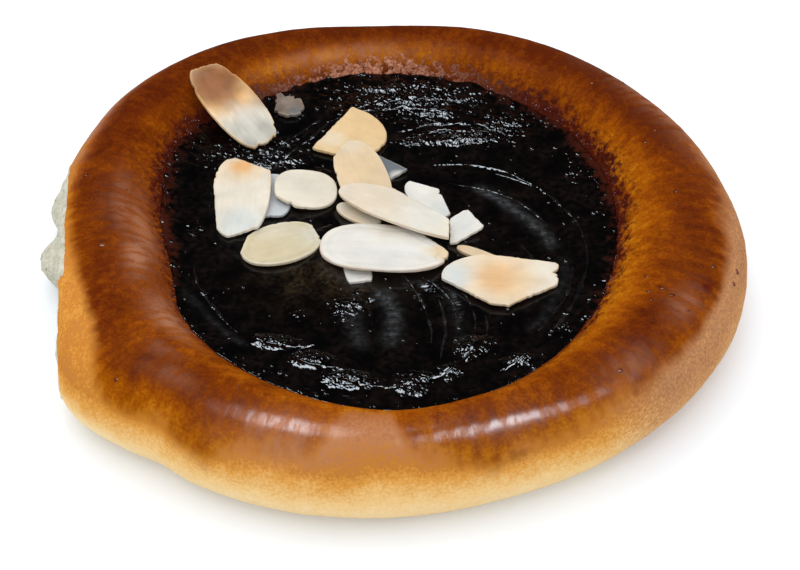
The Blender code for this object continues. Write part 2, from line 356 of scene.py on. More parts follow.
def doughSection():  # rows of radius, height, across: 0 at the jam's edge, 1 crest, 2 bulge, 3 base
    sizes = doughSizes
    corners = [(0.0, sizes["pocketFloor"]), (sizes["pocketRadius"], sizes["pocketFloor"]),
               (sizes["jamRadius"], sizes["jamEdgeHeight"]), (sizes["crestRadius"], sizes["crestHeight"]),
               (sizes["bunRadius"], sizes["bulgeHeight"]), (sizes["baseRadius"], 0.0), (0.0, 0.0)]
    power = 2 / sizes["squareness"]
    rows = []
    for number, (rings, outward, upward) in enumerate(doughStretches):
        part = np.linspace(0, 1, rings, endpoint=False)
        sine, cosine = np.sin(part * pi / 2), np.cos(part * pi / 2)
        runs = {"even": part, "sine": sine, "turn": 1 - cosine,
                "squareSine": sine ** power, "squareTurn": 1 - cosine ** power}
        (radius, height), (nextRadius, nextHeight) = corners[number:number + 2]
        radius = radius + (nextRadius - radius) * runs[outward]
        height = height + (nextHeight - height) * runs[upward]
        rows.append(placesOf(radius, height, np.maximum(number - 2 + part, -1.0)))
    return np.concatenate(rows)[1:]


def doughSurface():  # places, and grids of bearing, across and torn crumb
    bearing = np.arange(doughSizes["steps"]) * 360.0 / doughSizes["steps"]
    section = doughSection().T
    radius, height, across = (np.repeat(column[:, None], len(bearing), axis=1) for column in section)
    bearing = np.broadcast_to(bearing, radius.shape)
    radius, height = planPoints(radius, bearing, height)
    radius, crumb = tearSide(radius, bearing, height)
    return placesRound(radius, bearing, height), {"bearing": bearing, "across": across, "crumb": crumb}


def matteShare(bearing, across):
    return stepOver(np.abs(turnFrom(bearing, 360)), matteSide["turn"]) * stepOver(across, matteSide["across"])


def streakPlaces(bearing, across):  # stretched so that noise runs from the jam outwards
    width, length = doughRelief["streak"][:2]
    reach = doughRelief["acrossReach"] / length
    return placesRound(doughSizes["crestRadius"] / width, bearing, across * reach)


def doughRise(places, bearing, across, crumb):  # how far the fine surface stands out
    relief = doughRelief
    rise = dents(relief["broad"], places, 11) + dents(relief["medium"], places, 12)
    rise = rise + dents(relief["skin"], places, 13, 2)
    rise = rise + dents((1.0, relief["streak"][2]), streakPlaces(bearing, across), 14)
    size, height = relief["wrinkle"]
    fold = 1 - np.abs(softNoise(places * relief["wrinkleTall"], size, 15)) * 2
    rise = rise + height * matteShare(bearing, across) * np.clip(fold, 0, 1)
    size, height = relief["crumbPore"]
    pores = height * np.clip(softNoise(places, size, 17) - relief["poreFrom"], 0, 1)
    pulled = dents(relief["crumbLump"], places, 16, 2) - pores
    return stepOver(across, *relief["shown"]) * (rise * (1 - crumb) + pulled * crumb)


def baseWave(places, across):  # the foot lifts off the table here and there
    relief = doughRelief
    size, height = relief["baseWave"]
    lift = height * np.clip(softNoise(places * np.array([1, 1, 0]), size, 18), 0, 1)
    return stepOver(across, *relief["waveShown"]) * lift


# The crust's finish. Egg wash: for each bearing, how far out it reaches as a value of across
washOuter = [
    (168, 1.58), (184, 1.42), (195, 1.33), (203, 1.25), (209, 1.22), (214, 1.35), (218, 1.60), (222, 1.77),
    (231, 1.70), (240, 1.90), (245, 1.56), (249, 1.50), (257, 1.50), (260, 1.15), (262, 0.95), (269, 0.98),
    (272, 1.38), (276, 1.58), (282, 1.78), (287, 1.85), (292, 1.68), (299, 1.77), (303, 1.72), (306, 1.66),
    (317, 1.58), (322, 1.56), (334, 1.52), (348, 1.46), (357, 1.44), (8, 1.50), (16, 1.46), (30, 1.60),
    (60, 2.05), (110, 2.20), (140, 2.00), (158, 1.75)]
washMillimetres = 15.0  # for one step of across
washFarthest = 9.0
slopeMillimetres = 10.0
washCrisp = {"least": 0.38, "more": 0.8, "places": [(203, 13), (338, 14)]}  # sharp ends: bearing, spread

bakeLevels = {  # 0 light golden, 1 darkest brown; rows as bearing, spread, across, reach, amount
    "plain": 0.58,
    "spots": [(0, everywhere, 1.12, 0.42, 0.26), (268, 46, 1.12, 0.42, -0.234),
              (112, 50, 0, everywhere, 0.09), (112, 50, 1.7, 0.25, -0.054), (2, 38, 0.25, 0.42, -0.34),
              (47, 18, 1.1, 0.5, 0.16), (102, 24, 0.42, 0.22, -0.42), (268, 46, 0.8, 0.4, -0.10),
              (268, 46, 0.15, 0.35, -0.14), (324, 20, 0.45, 0.35, -0.14)],
    "slopes": [(268, 46, 1.25, 0.40, -0.24), (178, 36, 1.24, 0.28, -0.60)],
}

bareLevels = {  # where each place is on the ramp of bare crust
    "steps": [(0.0, 0.0), (1.0, 0.10), (1.35, 0.25), (1.6, 0.33), (1.72, 0.42), (1.8, 0.52), (1.9, 0.62),
              (2.1, 0.76), (2.3, 0.90), (2.6, 1.0)],  # across, level
    "spots": [(318, 20, 0, everywhere, -0.10)],
    "slopes": [(211, 14, 2.05, 0.25, 0.12), (197, 20, 2.2, -0.2, -0.07)],
    "veil": (265, 15), "leastOutside": 0.42,  # the pinkish bare crest at the front: bearing, spread
}

crustSpots = {  # bearing, spread, across, spread, amount
    "patch": [  # dark red-brown patches
        (203, 4, 1.13, 0.12, 0.6), (211, 3, 1.15, 0.10, 0.5), (196, 6, 1.02, 0.2, 0.4),
        (150, 14, 1.05, 0.3, 0.35), (70, 10, 0.85, 0.2, 0.45), (60, 6, 0.8, 0.2, 0.45),
        (40, 20, 1.1, 0.25, 0.25), (341, 2.2, 1.32, 0.09, 0.9), (0, 9, 1.15, 0.12, 0.35),
        (322, 9, 1.15, 0.15, 0.4), (290, 3, 1.75, 0.08, 0.4), (330, 4, 1.02, 0.1, 0.4)],
    "shine": [  # glossy egg wash
        (251, 8, 1.38, 0.34, 0.70), (289, 12, 1.40, 0.32, 0.85), (316, 7, 1.32, 0.28, 0.5),
        (334, 8, 1.3, 0.2, 0.3), (192, 9, 0.60, 0.26, 0.35), (150, 22, 1.72, 0.30, 0.6),
        (352, 16, 1.2, 0.2, 0.15)],
    "haze": [  # painted sheen: pale sheen and reflection painted into the crust's colour
        (193, 7, 0.60, 0.22, 0.42), (154, 13, 1.50, 0.14, 0.36), (34, 17, 1.55, 0.30, 0.45),
        (316, 6, 1.30, 0.16, 0.20), (104, 16, 0.44, 0.16, 0.30), (335, 5, 1.25, 0.13, 0.22),
        (213, 8, 0.40, 0.24, 0.42), (250, 8, 1.44, 0.26, 0.28), (177, 9, 0.74, 0.22, 0.26),
        (184, 12, 0.45, 0.22, 0.34), (228, 5, 1.18, 0.10, 0.15), (222, 4, 0.95, 0.12, 0.15)],
}

stainReach = {  # how far up the slope the jam stained the crust, mm
    "least": 0.7, "inside": 2.0, "lowest": -6.0, "highest": 3.0,
    "swells": [(94, 24, 1.7), (62, 10, 0.5), (50, 7, 1.3), (38, 7, 0.7), (24, 7, 1.5), (8, 6, 1.0),
               (352, 6, 0.7), (340, 5, 0.2), (325, 7, 0.4), (128, 7, 0.5), (140, 9, 1.4), (154, 7, 1.3),
               (168, 8, 0.8), (215, 40, -0.5), (262, 35, -0.6)],
    "bloom": (96, 21),  # bearing and spread of the pinkish jam film at the back: stain with painted sheen and painted highlight specks
}

crustColours = {
    "golden": (0.42, 0.142, 0.0040), "amber": (0.26, 0.062, 0.0012), "brown": (0.155, 0.029, 0.0009),
    "dark": (0.080, 0.0120, 0.0010), "patch": (0.062, 0.004, 0.0012),
    "inner": (0.27, 0.088, 0.025), "veil": (0.41, 0.165, 0.068), "orange": (0.48, 0.18, 0.026),
    "straw": (0.65, 0.30, 0.058), "pale": (0.79, 0.505, 0.20), "cream": (0.84, 0.64, 0.36),
    "tan": (0.30, 0.135, 0.070), "tanLight": (0.48, 0.225, 0.088), "tanPale": (0.64, 0.37, 0.165),
    "maroon": (0.036, 0.0042, 0.0028), "jamFilmAndSheen": (0.23, 0.062, 0.024), "paintedFilmGlint": (0.52, 0.26, 0.17),
    "crumb": (0.58, 0.56, 0.46), "crumbShade": (0.38, 0.355, 0.27), "halo": (0.085, 0.013, 0.0035),
    "haze": (0.46, 0.225, 0.135), "speckRed": (0.09, 0.012, 0.012),
}

crustRamps = {  # position on each ramp, colour
    "washed": [(0.05, "golden"), (0.38, "amber"), (0.66, "brown"), (0.98, "dark")],
    "bare": [(0.0, "inner"), (0.25, "veil"), (0.40, "orange"), (0.55, "straw"), (0.76, "pale"),
             (1.0, "cream")],
    "matte": [(0.2, "tan"), (0.6, "tanLight"), (0.95, "tanPale")],
}

crustGrains = {  # cloud patches: scale for each metre, detail, low, high
    "broad": (120.0, 3.0, 0.3, 0.7), "mottle": (640.0, 5.0, 0.25, 0.75),
    "fine": (2100.0, 3.0, 0.3, 0.7), "clumps": (900.0, 5.0, 0.3, 0.7),
}
streakGrain = (1.0, 4.0, 0.3, 0.7)
crustSpecks = {"specks": (1500.0, 0.38, 0.3), "holes": (620.0, 0.42, 0.3)}  # scale, radius, softness
crustFold = (420.0, 2.0, 0.10)  # scale, detail, width

crustAmounts = {  # how far each grain swings a level
    "washed": dict(mottle=0.17, fine=0.17, streak=0.18, broad=0.20), "bare": dict(mottle=0.055),
    "edge": dict(mottle=0.30, streak=0.15, broad=0.6), "stain": dict(clumps=2.6, fine=1.0),
    "haze": dict(fine=0.4), "crumb": dict(mottle=0.45, clumps=0.35), "glints": dict(mottle=0.5),
}

crustShares = {  # how much of each grain goes in
    "filmGlintDots": dict(specks=0.45, fine=0.75), "stainDark": dict(fine=0.6),
    "crumbPale": dict(mottle=0.5, fine=0.6), "crumbHoleShade": dict(holes=0.4), "rough": dict(fine=0.06),
    "pulled": dict(holes=-1.4), "relief": dict(streak=0.30, mottle=0.30, fine=0.22),
}

crustSpans = {  # from and to, and what they become where that isn't 0 and 1
    "thinWash": (3.4, 0.0, 0.0, -0.16), "washed": (-1.1, 1.1), "patch": (-0.1, 0.75),
    "halo": (-2.6, 0.0, 0.0, 0.8), "film": (0.1, 0.5), "sheenStreaks": (0.1, 0.8, 0.35, 1.2),
    "crumb": (0.38, 0.62), "dry": (0, 1, 0.16, 0.34), "glints": (0.15, 0.75, 0.30, 1.0),
}

crustTurns = {  # a value, and what a mask adds to it
    "bareFine": (0.11, 0.24), "stainSoft": (0.45, 0.95), "rough": (0.45, 0.3), "foldDepth": 0.5,
    "bareBroad": 0.09, "leastGloss": 0.006, "depth": 0.09, "strength": 0.8,
}


def levelFrom(table, bearing, across):
    return sum(spotGrids(bearing, across, table["spots"])) + slopeSum(bearing, across, table["slopes"])


def washDepth(bearing, across):  # mm inside the egg wash's edge, below 0 outside it
    outer = np.interp(bearing, *zip(*washOuter), period=360)
    depth = np.clip((outer - across) * washMillimetres, -washFarthest, washFarthest)
    sharp = np.max([nearTo(bearing, *place) for place in washCrisp["places"]], axis=0)
    return depth * (washCrisp["least"] + washCrisp["more"] * sharp)


def bareLevel(bearing, across):
    level = np.interp(across, *zip(*bareLevels["steps"])) + levelFrom(bareLevels, bearing, across)
    return np.maximum(level, bareLevels["leastOutside"] * (1 - nearTo(bearing, *bareLevels["veil"])))


def doughMasks(bearing, across, crumb):
    reach = stainReach["least"] + swellSum(bearing, stainReach["swells"])
    stain = np.where(across < 0.0, stainReach["inside"], reach - across * slopeMillimetres)
    masks = {name: np.max(spotGrids(bearing, across, spots), axis=0) for name, spots in crustSpots.items()}
    return stain, {
        **masks, "bake": bakeLevels["plain"] + levelFrom(bakeLevels, bearing, across),
        "wash": washDepth(bearing, across), "bare": bareLevel(bearing, across),
        "matte": matteShare(bearing, across), "crumb": crumb, "bloom": nearTo(bearing, *stainReach["bloom"]),
        "stain": np.clip(stain, stainReach["lowest"], stainReach["highest"])}


def rampFor(nodes, level, name):
    return nodes.ramp(level, [(position, crustColours[tone]) for position, tone in crustRamps[name]])


def washedColour(nodes, grains):
    level = nodes.uneven(nodes.read("bake"), grains, **crustAmounts["washed"])
    thin = nodes.span(nodes.read("wash"), *crustSpans["thinWash"])  # paler towards the egg wash's edge
    return rampFor(nodes, nodes.plus(level, thin), "washed")


def bareColour(nodes, grains):
    matte = nodes.read("matte")
    plain, more = crustTurns["bareFine"]
    grainy = nodes.plus(plain, nodes.times(matte, more))
    level = nodes.uneven(nodes.read("bare"), grains, **crustAmounts["bare"], fine=grainy,
                         broad=crustTurns["bareBroad"])
    return nodes.mix(matte, rampFor(nodes, level, "bare"), rampFor(nodes, level, "matte"))


def stainOver(nodes, grains, colour):  # dark jam that soaked in, with a pinkish film at the back that is stain with painted sheen and painted highlight specks
    tones = crustColours
    bloom = nodes.read("bloom")
    edge = nodes.uneven(nodes.read("stain"), grains, **crustAmounts["stain"])
    plain, more = crustTurns["stainSoft"]
    soft = nodes.plus(plain, nodes.times(bloom, more))
    stain = nodes.span(edge, nodes.times(soft, -1.0), soft)
    halo = nodes.times(nodes.span(edge, *crustSpans["halo"]), nodes.rest(bloom))
    colour = nodes.mix(halo, colour, tones["halo"])
    # the film: jam stain with painted sheen, dotted with painted highlight specks
    film = nodes.mix(nodes.blend(grains, "filmGlintDots"), tones["jamFilmAndSheen"], tones["paintedFilmGlint"])
    filmShare = nodes.times(bloom, nodes.span(grains["clumps"], *crustSpans["film"]))
    dark = nodes.mix(nodes.blend(grains, "stainDark"), tones["maroon"], tones["halo"])
    return nodes.mix(stain, colour, nodes.mix(filmShare, dark, film)), stain


# painted sheen: pale streaky patches mixed into the colour where the crust shows a sheen
def paintedSheenOver(nodes, grains, colour):
    sheenStreaks = nodes.uneven(grains["streak"], grains, **crustAmounts["haze"])
    haze = nodes.times(nodes.read("haze"), nodes.span(sheenStreaks, *crustSpans["sheenStreaks"]))
    return nodes.mix(haze, colour, crustColours["haze"])


def crumbOver(nodes, grains, colour):  # pale torn crumb, with painted shade in its small holes
    shade = crustColours["crumbShade"]
    level = nodes.uneven(nodes.read("crumb"), grains, **crustAmounts["crumb"])
    crumb = nodes.span(level, *crustSpans["crumb"])
    torn = nodes.mix(nodes.blend(grains, "crumbPale"), shade, crustColours["crumb"])
    # painted shade: the holes take the darker crumb tone
    torn = nodes.mix(nodes.blend(grains, "crumbHoleShade"), torn, shade)
    return nodes.mix(crumb, colour, torn), crumb


def crustRelief(nodes, grains, place, stain, crumb):
    fold = nodes.use(wrinkleGroup, place, *crustFold)
    folded = nodes.times(nodes.read("matte"), crustTurns["foldDepth"])
    pulled = nodes.plus(nodes.blend(grains, "pulled"), grains["mottle"])
    return nodes.plus(nodes.blend(grains, "relief"), *nodes.products(
        (grains["clumps"], stain), (fold, folded), (crumb, pulled)))


def makeCrustMaterial():
    material, nodes, shader, place = newMaterial(
        "baked crust", IOR=1.45, Specular_IOR_Level=0.006, Coat_Roughness=0.22, Coat_IOR=1.5)
    grains = {name: nodes.use(cloudGroup, place, *values) for name, values in crustGrains.items()}
    grains["streak"] = nodes.use(cloudGroup, nodes.read("streaks", "Vector"), *streakGrain)
    grains.update({name: nodes.use(speckGroup, place, *values) for name, values in crustSpecks.items()})
    edge = nodes.uneven(nodes.read("wash"), grains, **crustAmounts["edge"])
    washed = nodes.span(edge, *crustSpans["washed"])
    colour = nodes.mix(washed, bareColour(nodes, grains), washedColour(nodes, grains))
    patch = nodes.times(nodes.read("patch"), nodes.span(grains["mottle"], *crustSpans["patch"]))
    colour = nodes.mix(patch, colour, crustColours["patch"])
    colour, stain = stainOver(nodes, grains, colour)
    colour = paintedSheenOver(nodes, grains, colour)
    colour, crumb = crumbOver(nodes, grains, colour)
    dry = nodes.times(nodes.rest(washed), nodes.span(nodes.read("matte"), *crustSpans["dry"]))
    plain, more = crustTurns["rough"]
    rough = nodes.plus(plain, nodes.blend(grains, "rough"), dry, nodes.times(crumb, more))
    glints = nodes.uneven(grains["streak"], grains, **crustAmounts["glints"])
    glints = nodes.span(glints, *crustSpans["glints"])
    gloss = nodes.times(nodes.plus(nodes.read("shine"), crustTurns["leastGloss"]), glints)
    nodes.feed(shader["Coat Weight"], nodes.times(gloss, nodes.rest(crumb)))
    relief = crustRelief(nodes, grains, place, stain, crumb)
    dress(nodes, shader, colour, rough, relief, crustTurns["depth"], crustTurns["strength"])
    return material


def makeDough():
    places, grids = doughSurface()
    surface = places + ringNormals(places) * doughRise(places, **grids)[..., None]
    surface[..., 2] = np.maximum(surface[..., 2] + baseWave(places, grids["across"]), 0.0)
    mesh = meshFromRings("bread", surface + ringMiddle)
    grids["stain"], masks = doughMasks(**grids)
    for name, mask in masks.items():
        addLayer(mesh, name, mask)
    addLayer(mesh, "streaks", streakPlaces(grids["bearing"], grids["across"]), "FLOAT_VECTOR", "vector")
    mesh.materials.append(makeCrustMaterial())
    piece = linkObject("bread", mesh)
    handOver(piece, "dough")
    return piece, grids


# The almond flakes: outline and place as the frame has them, then their looks

flakeTones = {
    "tan": (0.60, 0.44, 0.235), "buff": (0.575, 0.445, 0.285), "cream": (0.60, 0.55, 0.46),
    "white": (0.60, 0.585, 0.54), "blue": (0.52, 0.55, 0.53), "yellow": (0.50, 0.44, 0.29),
    "grey": (0.40, 0.39, 0.34), "greyBlue": (0.43, 0.46, 0.48), "brown": (0.150, 0.110, 0.082),
    "orange": (0.62, 0.31, 0.09), "toast": (0.25, 0.088, 0.020), "gold": (0.62, 0.38, 0.13),
    "dusk": (0.12, 0.135, 0.155), "skin": (0.50, 0.30, 0.13),
}

plainFlake = dict(  # what a flake has where its own entry says nothing
    taper=0, shift=0, breaks=[], square=2.4, nicks=[], ragged=0.10, bow=0, groove=0.05,
    panel=-20.0, mottle=0.07, rim=("cream", 0.2), spots=[])

flakes = {  # size: length, width; turn: yaw, pitch, roll; spots: tone, u, v, reach, amount
    "almond_on_rim": dict(
        size=(20.6, 9.3), taper=0.04, breaks=[(180, 9.6), (-13, 9.1)],
        at=(-28.3, 29.2, 16.9), turn=(130, 17, 0), bow=0.3, tone="cream", rim=("gold", 0.8),
        nicks=[(205, 0.4, 0.4), (192, 0.3, 0.5), (172, 0.35, 0.3), (30, 0.5, 0.35), (-35, 0.5, 0.3)],
        ragged=0.13, mottle=0.22,
        spots=[("gold", 4.0, 0.0, 7.8, 0.9), ("orange", 1.4, -0.5, 5.0, 0.45), ("toast", 5.6, 0.2, 5.6, 1.0),
               ("grey", -7.0, 1.4, 6.4, 0.95), ("white", -3.6, -0.6, 2.6, 0.3)]),
    "almond_sunk_chip": dict(
        size=(7.0, 5.4), breaks=[(175, 3.1), (50, 2.0), (-60, 2.2)], square=2.0, ragged=0.55,
        at=(-19.0, 33.0, 13.8), turn=(127, 0, 0), tone="brown", rim=("grey", 0.12),
        nicks=[(100, 0.30, 0.35), (-30, 0.35, 0.4), (200, 0.3, 0.3)],
        mottle=0.3, spots=[("grey", 1.0, -0.6, 1.4, 0.08), ("dusk", -2.6, 0.0, 1.6, 0.6)]),
    "almond_half_back": dict(
        size=(20.2, 13.4), shift=-5.0, breaks=[(180, 5.0), (90, 6.4), (-77, 5.6)], square=2.1,
        at=(-6.6, 24.6, 13.5), turn=(-31, 0, 0), tone="tan", rim=("skin", 0.35),
        nicks=[(0, 0.4, 0.2)], spots=[("orange", 0.0, 2.0, 4.5, 0.14), ("cream", -3.4, -3.0, 2.4, 0.5)]),
    "almond_upright_middle": dict(
        size=(17.0, 8.6), taper=0.08, breaks=[(45, 6.1), (180, 6.0), (-12, 8.2)], square=2.35,
        at=(-5.7, 13.7, 14.1), turn=(107, 6, 0), bow=0.2, tone="buff", rim=("cream", 0.4),
        nicks=[(75, 0.4, 0.25)], spots=[("tan", 1.0, 0.5, 4.0, 0.3), ("cream", 7.0, 0.0, 2.0, 0.4)]),
    "almond_left_long": dict(
        size=(21.2, 10.0), taper=-0.06, breaks=[(-32, 7.4), (15, 9.9), (97, 4.5), (200, 9.2)], square=2.5,
        at=(-25.9, 8.8, 13.8), turn=(89, 0, -5), bow=0.2, tone="cream", rim=("skin", 0.25),
        nicks=[(44, 0.3, 0.25), (54, 0.3, 0.2), (34, 0.25, 0.25), (196, 0.5, 0.2)],
        spots=[("gold", 6.6, 0.6, 4.6, 0.42), ("orange", 7.0, 0.4, 2.0, 0.8),
               ("blue", -7.4, -0.5, 4.4, 0.85)]),
    "almond_left_under": dict(
        size=(11.0, 6.4), breaks=[(180, 5.2)], square=2.6,
        at=(-20.7, 9.6, 12.9), turn=(93, 0, 0), tone="greyBlue"),
    "almond_left_oval": dict(
        size=(10.6, 9.6), breaks=[(55, 4.8)], square=2.5,
        at=(-15.1, 10.2, 13.9), turn=(180, 6, 0), bow=0.1, tone="cream", rim=("skin", 0.2),
        nicks=[(58, 0.4, 0.4), (92, 0.3, 0.12)], spots=[("grey", 0.6, -0.4, 3.0, 0.10)]),
    "almond_left_low": dict(
        size=(14.0, 9.6), breaks=[(180, 6.4), (-37, 6.0)], square=2.15,
        at=(-18.8, -2.6, 13.0), turn=(203, 0, 0), bow=0.2, tone="yellow", rim=("cream", 0.6), panel=0.9,
        nicks=[(-100, 0.3, 0.15), (-125, 0.3, 0.15), (168, 0.35, 0.35)],
        spots=[("tan", 3.0, 0.0, 4.0, 0.15), ("cream", 0.0, -4.2, 3.6, 0.45),
               ("blue", -5.2, 0.0, 2.4, 0.35)]),
    "almond_top_long": dict(
        size=(26.0, 7.8), shift=-2.0, breaks=[(205, 8.6), (257, 3.0), (8, 10.8)], square=2.15,
        at=(0.5, 3.8, 15.3), turn=(153, 0, 0), bow=0.3, tone="cream", rim=("skin", 0.3),
        nicks=[(206, 0.3, 0.15)], spots=[("buff", 5.5, 0.0, 6.0, 0.35), ("blue", -5.0, 0.0, 4.0, 0.4)]),
    "almond_under_top": dict(
        size=(8.6, 3.8), square=2.2, at=(-6.1, 4.7, 13.1), turn=(146, 0, 0), tone="cream",
        rim=("gold", 0.4), spots=[("buff", 0.0, 0.0, 3.0, 0.4)]),
    "almond_grey_corner": dict(
        size=(9.0, 5.4), breaks=[(-97, 1.4), (162, 2.25)],
        at=(-0.8, 17.0, 12.85), turn=(151, 0, 0), tone="dusk", rim=("grey", 0.5),
        spots=[("white", -2.0, 1.6, 1.5, 0.75)]),
    "almond_white_behind": dict(
        size=(11.6, 5.8), breaks=[(180, 5.0), (-62, 2.9), (-112, 2.1)], square=2.1, ragged=0.05,
        at=(5.9, 8.6, 13.0), turn=(129, 0, 0), tone="white", rim=("blue", 0.3),
        nicks=[(-88, 0.30, 0.45)], spots=[("blue", -4.2, 0.6, 2.6, 0.8)]),
    "almond_chip_right": dict(
        size=(8.6, 6.0), breaks=[(0, 3.2), (145, 1.7), (-90, 2.6), (90, 2.6)],
        at=(10.8, 1.0, 13.6), turn=(34, 8, 0), tone="white", rim=("cream", 0.4),
        spots=[("blue", 0.5, 0.5, 2.5, 0.5)]),
    "almond_sliver": dict(
        size=(8.4, 2.1), at=(13.9, -5.0, 12.8), turn=(151, 0, 0), tone="buff", rim=("skin", 0.4)),
    "almond_big_white": dict(
        size=(21.2, 11.8), taper=-0.09, breaks=[(232, 7.0)],
        at=(-1.8, -4.7, 13.8), turn=(173, 0, 3), bow=0.3, tone="white", rim=("skin", 0.45),
        nicks=[(172, 0.35, 0.4), (184, 0.3, 0.3), (-152, 0.3, 0.12), (-160, 0.3, 0.12)],
        groove=0.20, panel=1.35,
        spots=[("tan", -9.4, 0.0, 2.0, 0.75), ("blue", 0.0, 0.4, 4.0, 0.35), ("cream", 0.0, -4.5, 4.0, 0.5)]),
    "almond_chip_front": dict(
        size=(7.2, 4.4), breaks=[(180, 3.2)], square=4.0,
        at=(-6.2, -8.2, 12.7), turn=(101, 0, 0), tone="white", rim=("cream", 0.3),
        spots=[("blue", -3.0, 1.5, 1.6, 0.5)]),
    "almond_right_long": dict(
        size=(21.0, 12.0), taper=0.14, shift=-0.5, breaks=[(60, 5.8), (128, 5.6), (183, 8.9), (-93, 5.1)],
        square=2.1, at=(17.5, -12.1, 13.8), turn=(173, 0, -2), bow=0.2, tone="cream", rim=("gold", 0.4),
        nicks=[(197, 0.5, 0.95), (190, 0.25, 0.3), (150, 0.25, 0.2), (140, 0.25, 0.15), (96, 0.3, 0.15)],
        spots=[("gold", 0.5, 0.3, 6.5, 0.52), ("orange", 1.2, 0.2, 3.0, 0.50), ("blue", 8.4, 0.4, 3.6, 0.9)]),
}
flakes = {name: {**plainFlake, **own} for name, own in flakes.items()}

flakeShape = {
    "thickness": 1.0, "sides": 260, "bevel": 0.22, "underBevel": 1.6,
    "edgeTop": 0.64, "edgeUnder": -0.10,  # how far each face stands off at the outline, in halves
    "shares": (0.15, 0.35, 0.55, 0.72, 0.86),  # of the outline's size, then rings that many mm inside it
    "insets": (0.50, 0.28, 0.14, 0.05, 0.0),
    "innermost": 0.9,  # most of the first of those insets, as a share of the ring before it
    "wave": (1.6, 0.07), "raggedSize": 0.5,  # unevenness of the outline
    "warp": (5.0, 0.08), "grooveRun": np.array([0.10, 0.55, 1]), "rimStep": (0.504, -0.42),
}

flakePaint = {
    "spotEdge": (2.6, 0.22), "spotStep": (1.4, -1.0), "rimBroken": (1.8, 0.45), "mottleSizes": (2.2, 0.9),
    "fineShare": 0.6, "paintedGrooveShade": 0.5,
    "paintedUnderLight": 0.30,  # painted light: the lower face and the side are made lighter, since they catch little light
    "grainRun": np.array([0.25, 2.2, 1.0]),
}

seedSteps = {"outline": 7.3, "sheet": 9.1, "tint": 5.7, "grain": 3.1, "ridge": 11.7}  # moves the noise on


def flakeTurn(flake):  # rotation of the flake's own axes
    yaw, pitch, roll = (radians(angle) for angle in flake["turn"])
    turn = Matrix.Rotation(yaw, 3, "Z") @ Matrix.Rotation(-pitch, 3, "Y") @ Matrix.Rotation(roll, 3, "X")
    return np.array(turn)


def flakeOutline(flake, seed):  # egg shape snapped along straight breaks, with small nicks
    angle = np.arange(flakeShape["sides"]) * 2 * pi / flakeShape["sides"]
    cosine, sine = np.cos(angle), np.sin(angle)
    power = 2 / flake["square"]
    length, width = flake["size"]
    u = flake["shift"] + length / 2 * np.sign(cosine) * np.abs(cosine) ** power
    v = width / 2 * np.sign(sine) * np.abs(sine) ** power * (1 - flake["taper"] * cosine)
    snapped = np.zeros_like(u)
    for direction, distance in flake["breaks"]:
        reach = u * cos(radians(direction)) + v * sin(radians(direction))
        past = reach > distance
        share = np.where(past, distance / np.where(past, reach, 1.0), 1.0)
        u = u * share
        v = v * share
        snapped = np.where(past, 1.0, snapped)
    edge = placesOf(u, v, seed * seedSteps["outline"])
    wave = dents(flakeShape["wave"], edge, 31) * (0.5 + 0.5 * snapped)  # snapped edges are rougher
    wave = wave + dents((flakeShape["raggedSize"], flake["ragged"]), edge, 30) * (0.2 + 0.8 * snapped)
    away = np.hypot(u, v)
    turn = np.degrees(np.arctan2(v, u))
    for direction, wide, deep in flake["nicks"]:
        wave = wave - deep * bell(np.radians(turnFrom(turn, direction)) * away, wide)
    return np.stack([u, v], axis=-1) * (1 + wave / away)[:, None]


def flakeInsets(outline):  # how far inside the outline each ring of a face runs, with the outline's size
    size = np.hypot(*outline.T)
    insets = [size * (1 - share) for share in flakeShape["shares"]]
    widest = flakeShape["insets"][0]
    for inset in flakeShape["insets"]:
        insets.append(np.minimum(inset, insets[4] * flakeShape["innermost"] * inset / widest))
    return size, insets


def flakeSheet(flake, seed):  # rings round a thin bowed slice, and grids of rim and fold line
    shape = flakeShape
    half = shape["thickness"] / 2
    outline = flakeOutline(flake, seed)
    size, insets = flakeInsets(outline)
    rings, rims, folds = [], [], []
    faces = (1, shape["bevel"], shape["edgeTop"]), (-1, shape["underBevel"], shape["edgeUnder"])
    for side, bevel, least in faces:
        for inset in insets[::side]:
            u, v = (outline * (1 - inset / size)[:, None]).T
            rounding = np.sqrt(np.clip(1 - (1 - np.clip(inset / bevel, 0, 1)) ** 2, 0, 1))
            bow = flake["bow"] * (1 - (u / (flake["size"][0] / 2)) ** 2)
            place = placesOf(u, v, seed * seedSteps["sheet"])
            groove = dents((1.0, flake["groove"]), place * shape["grooveRun"], 33) * rounding
            lift = half * (least + (1 - least) * rounding) + groove
            rings.append(placesOf(u, v, bow + dents(shape["warp"], place, 32) + side * lift))
            rims.append(stepOver(inset, shape["rimStep"]))
            folds.append(inset - flake["panel"])
    return np.array(rings), np.array(rims), np.array(folds)


def toned(tint, tone, share):
    return tint + share[..., None] * (np.array(flakeTones[tone]) - tint)


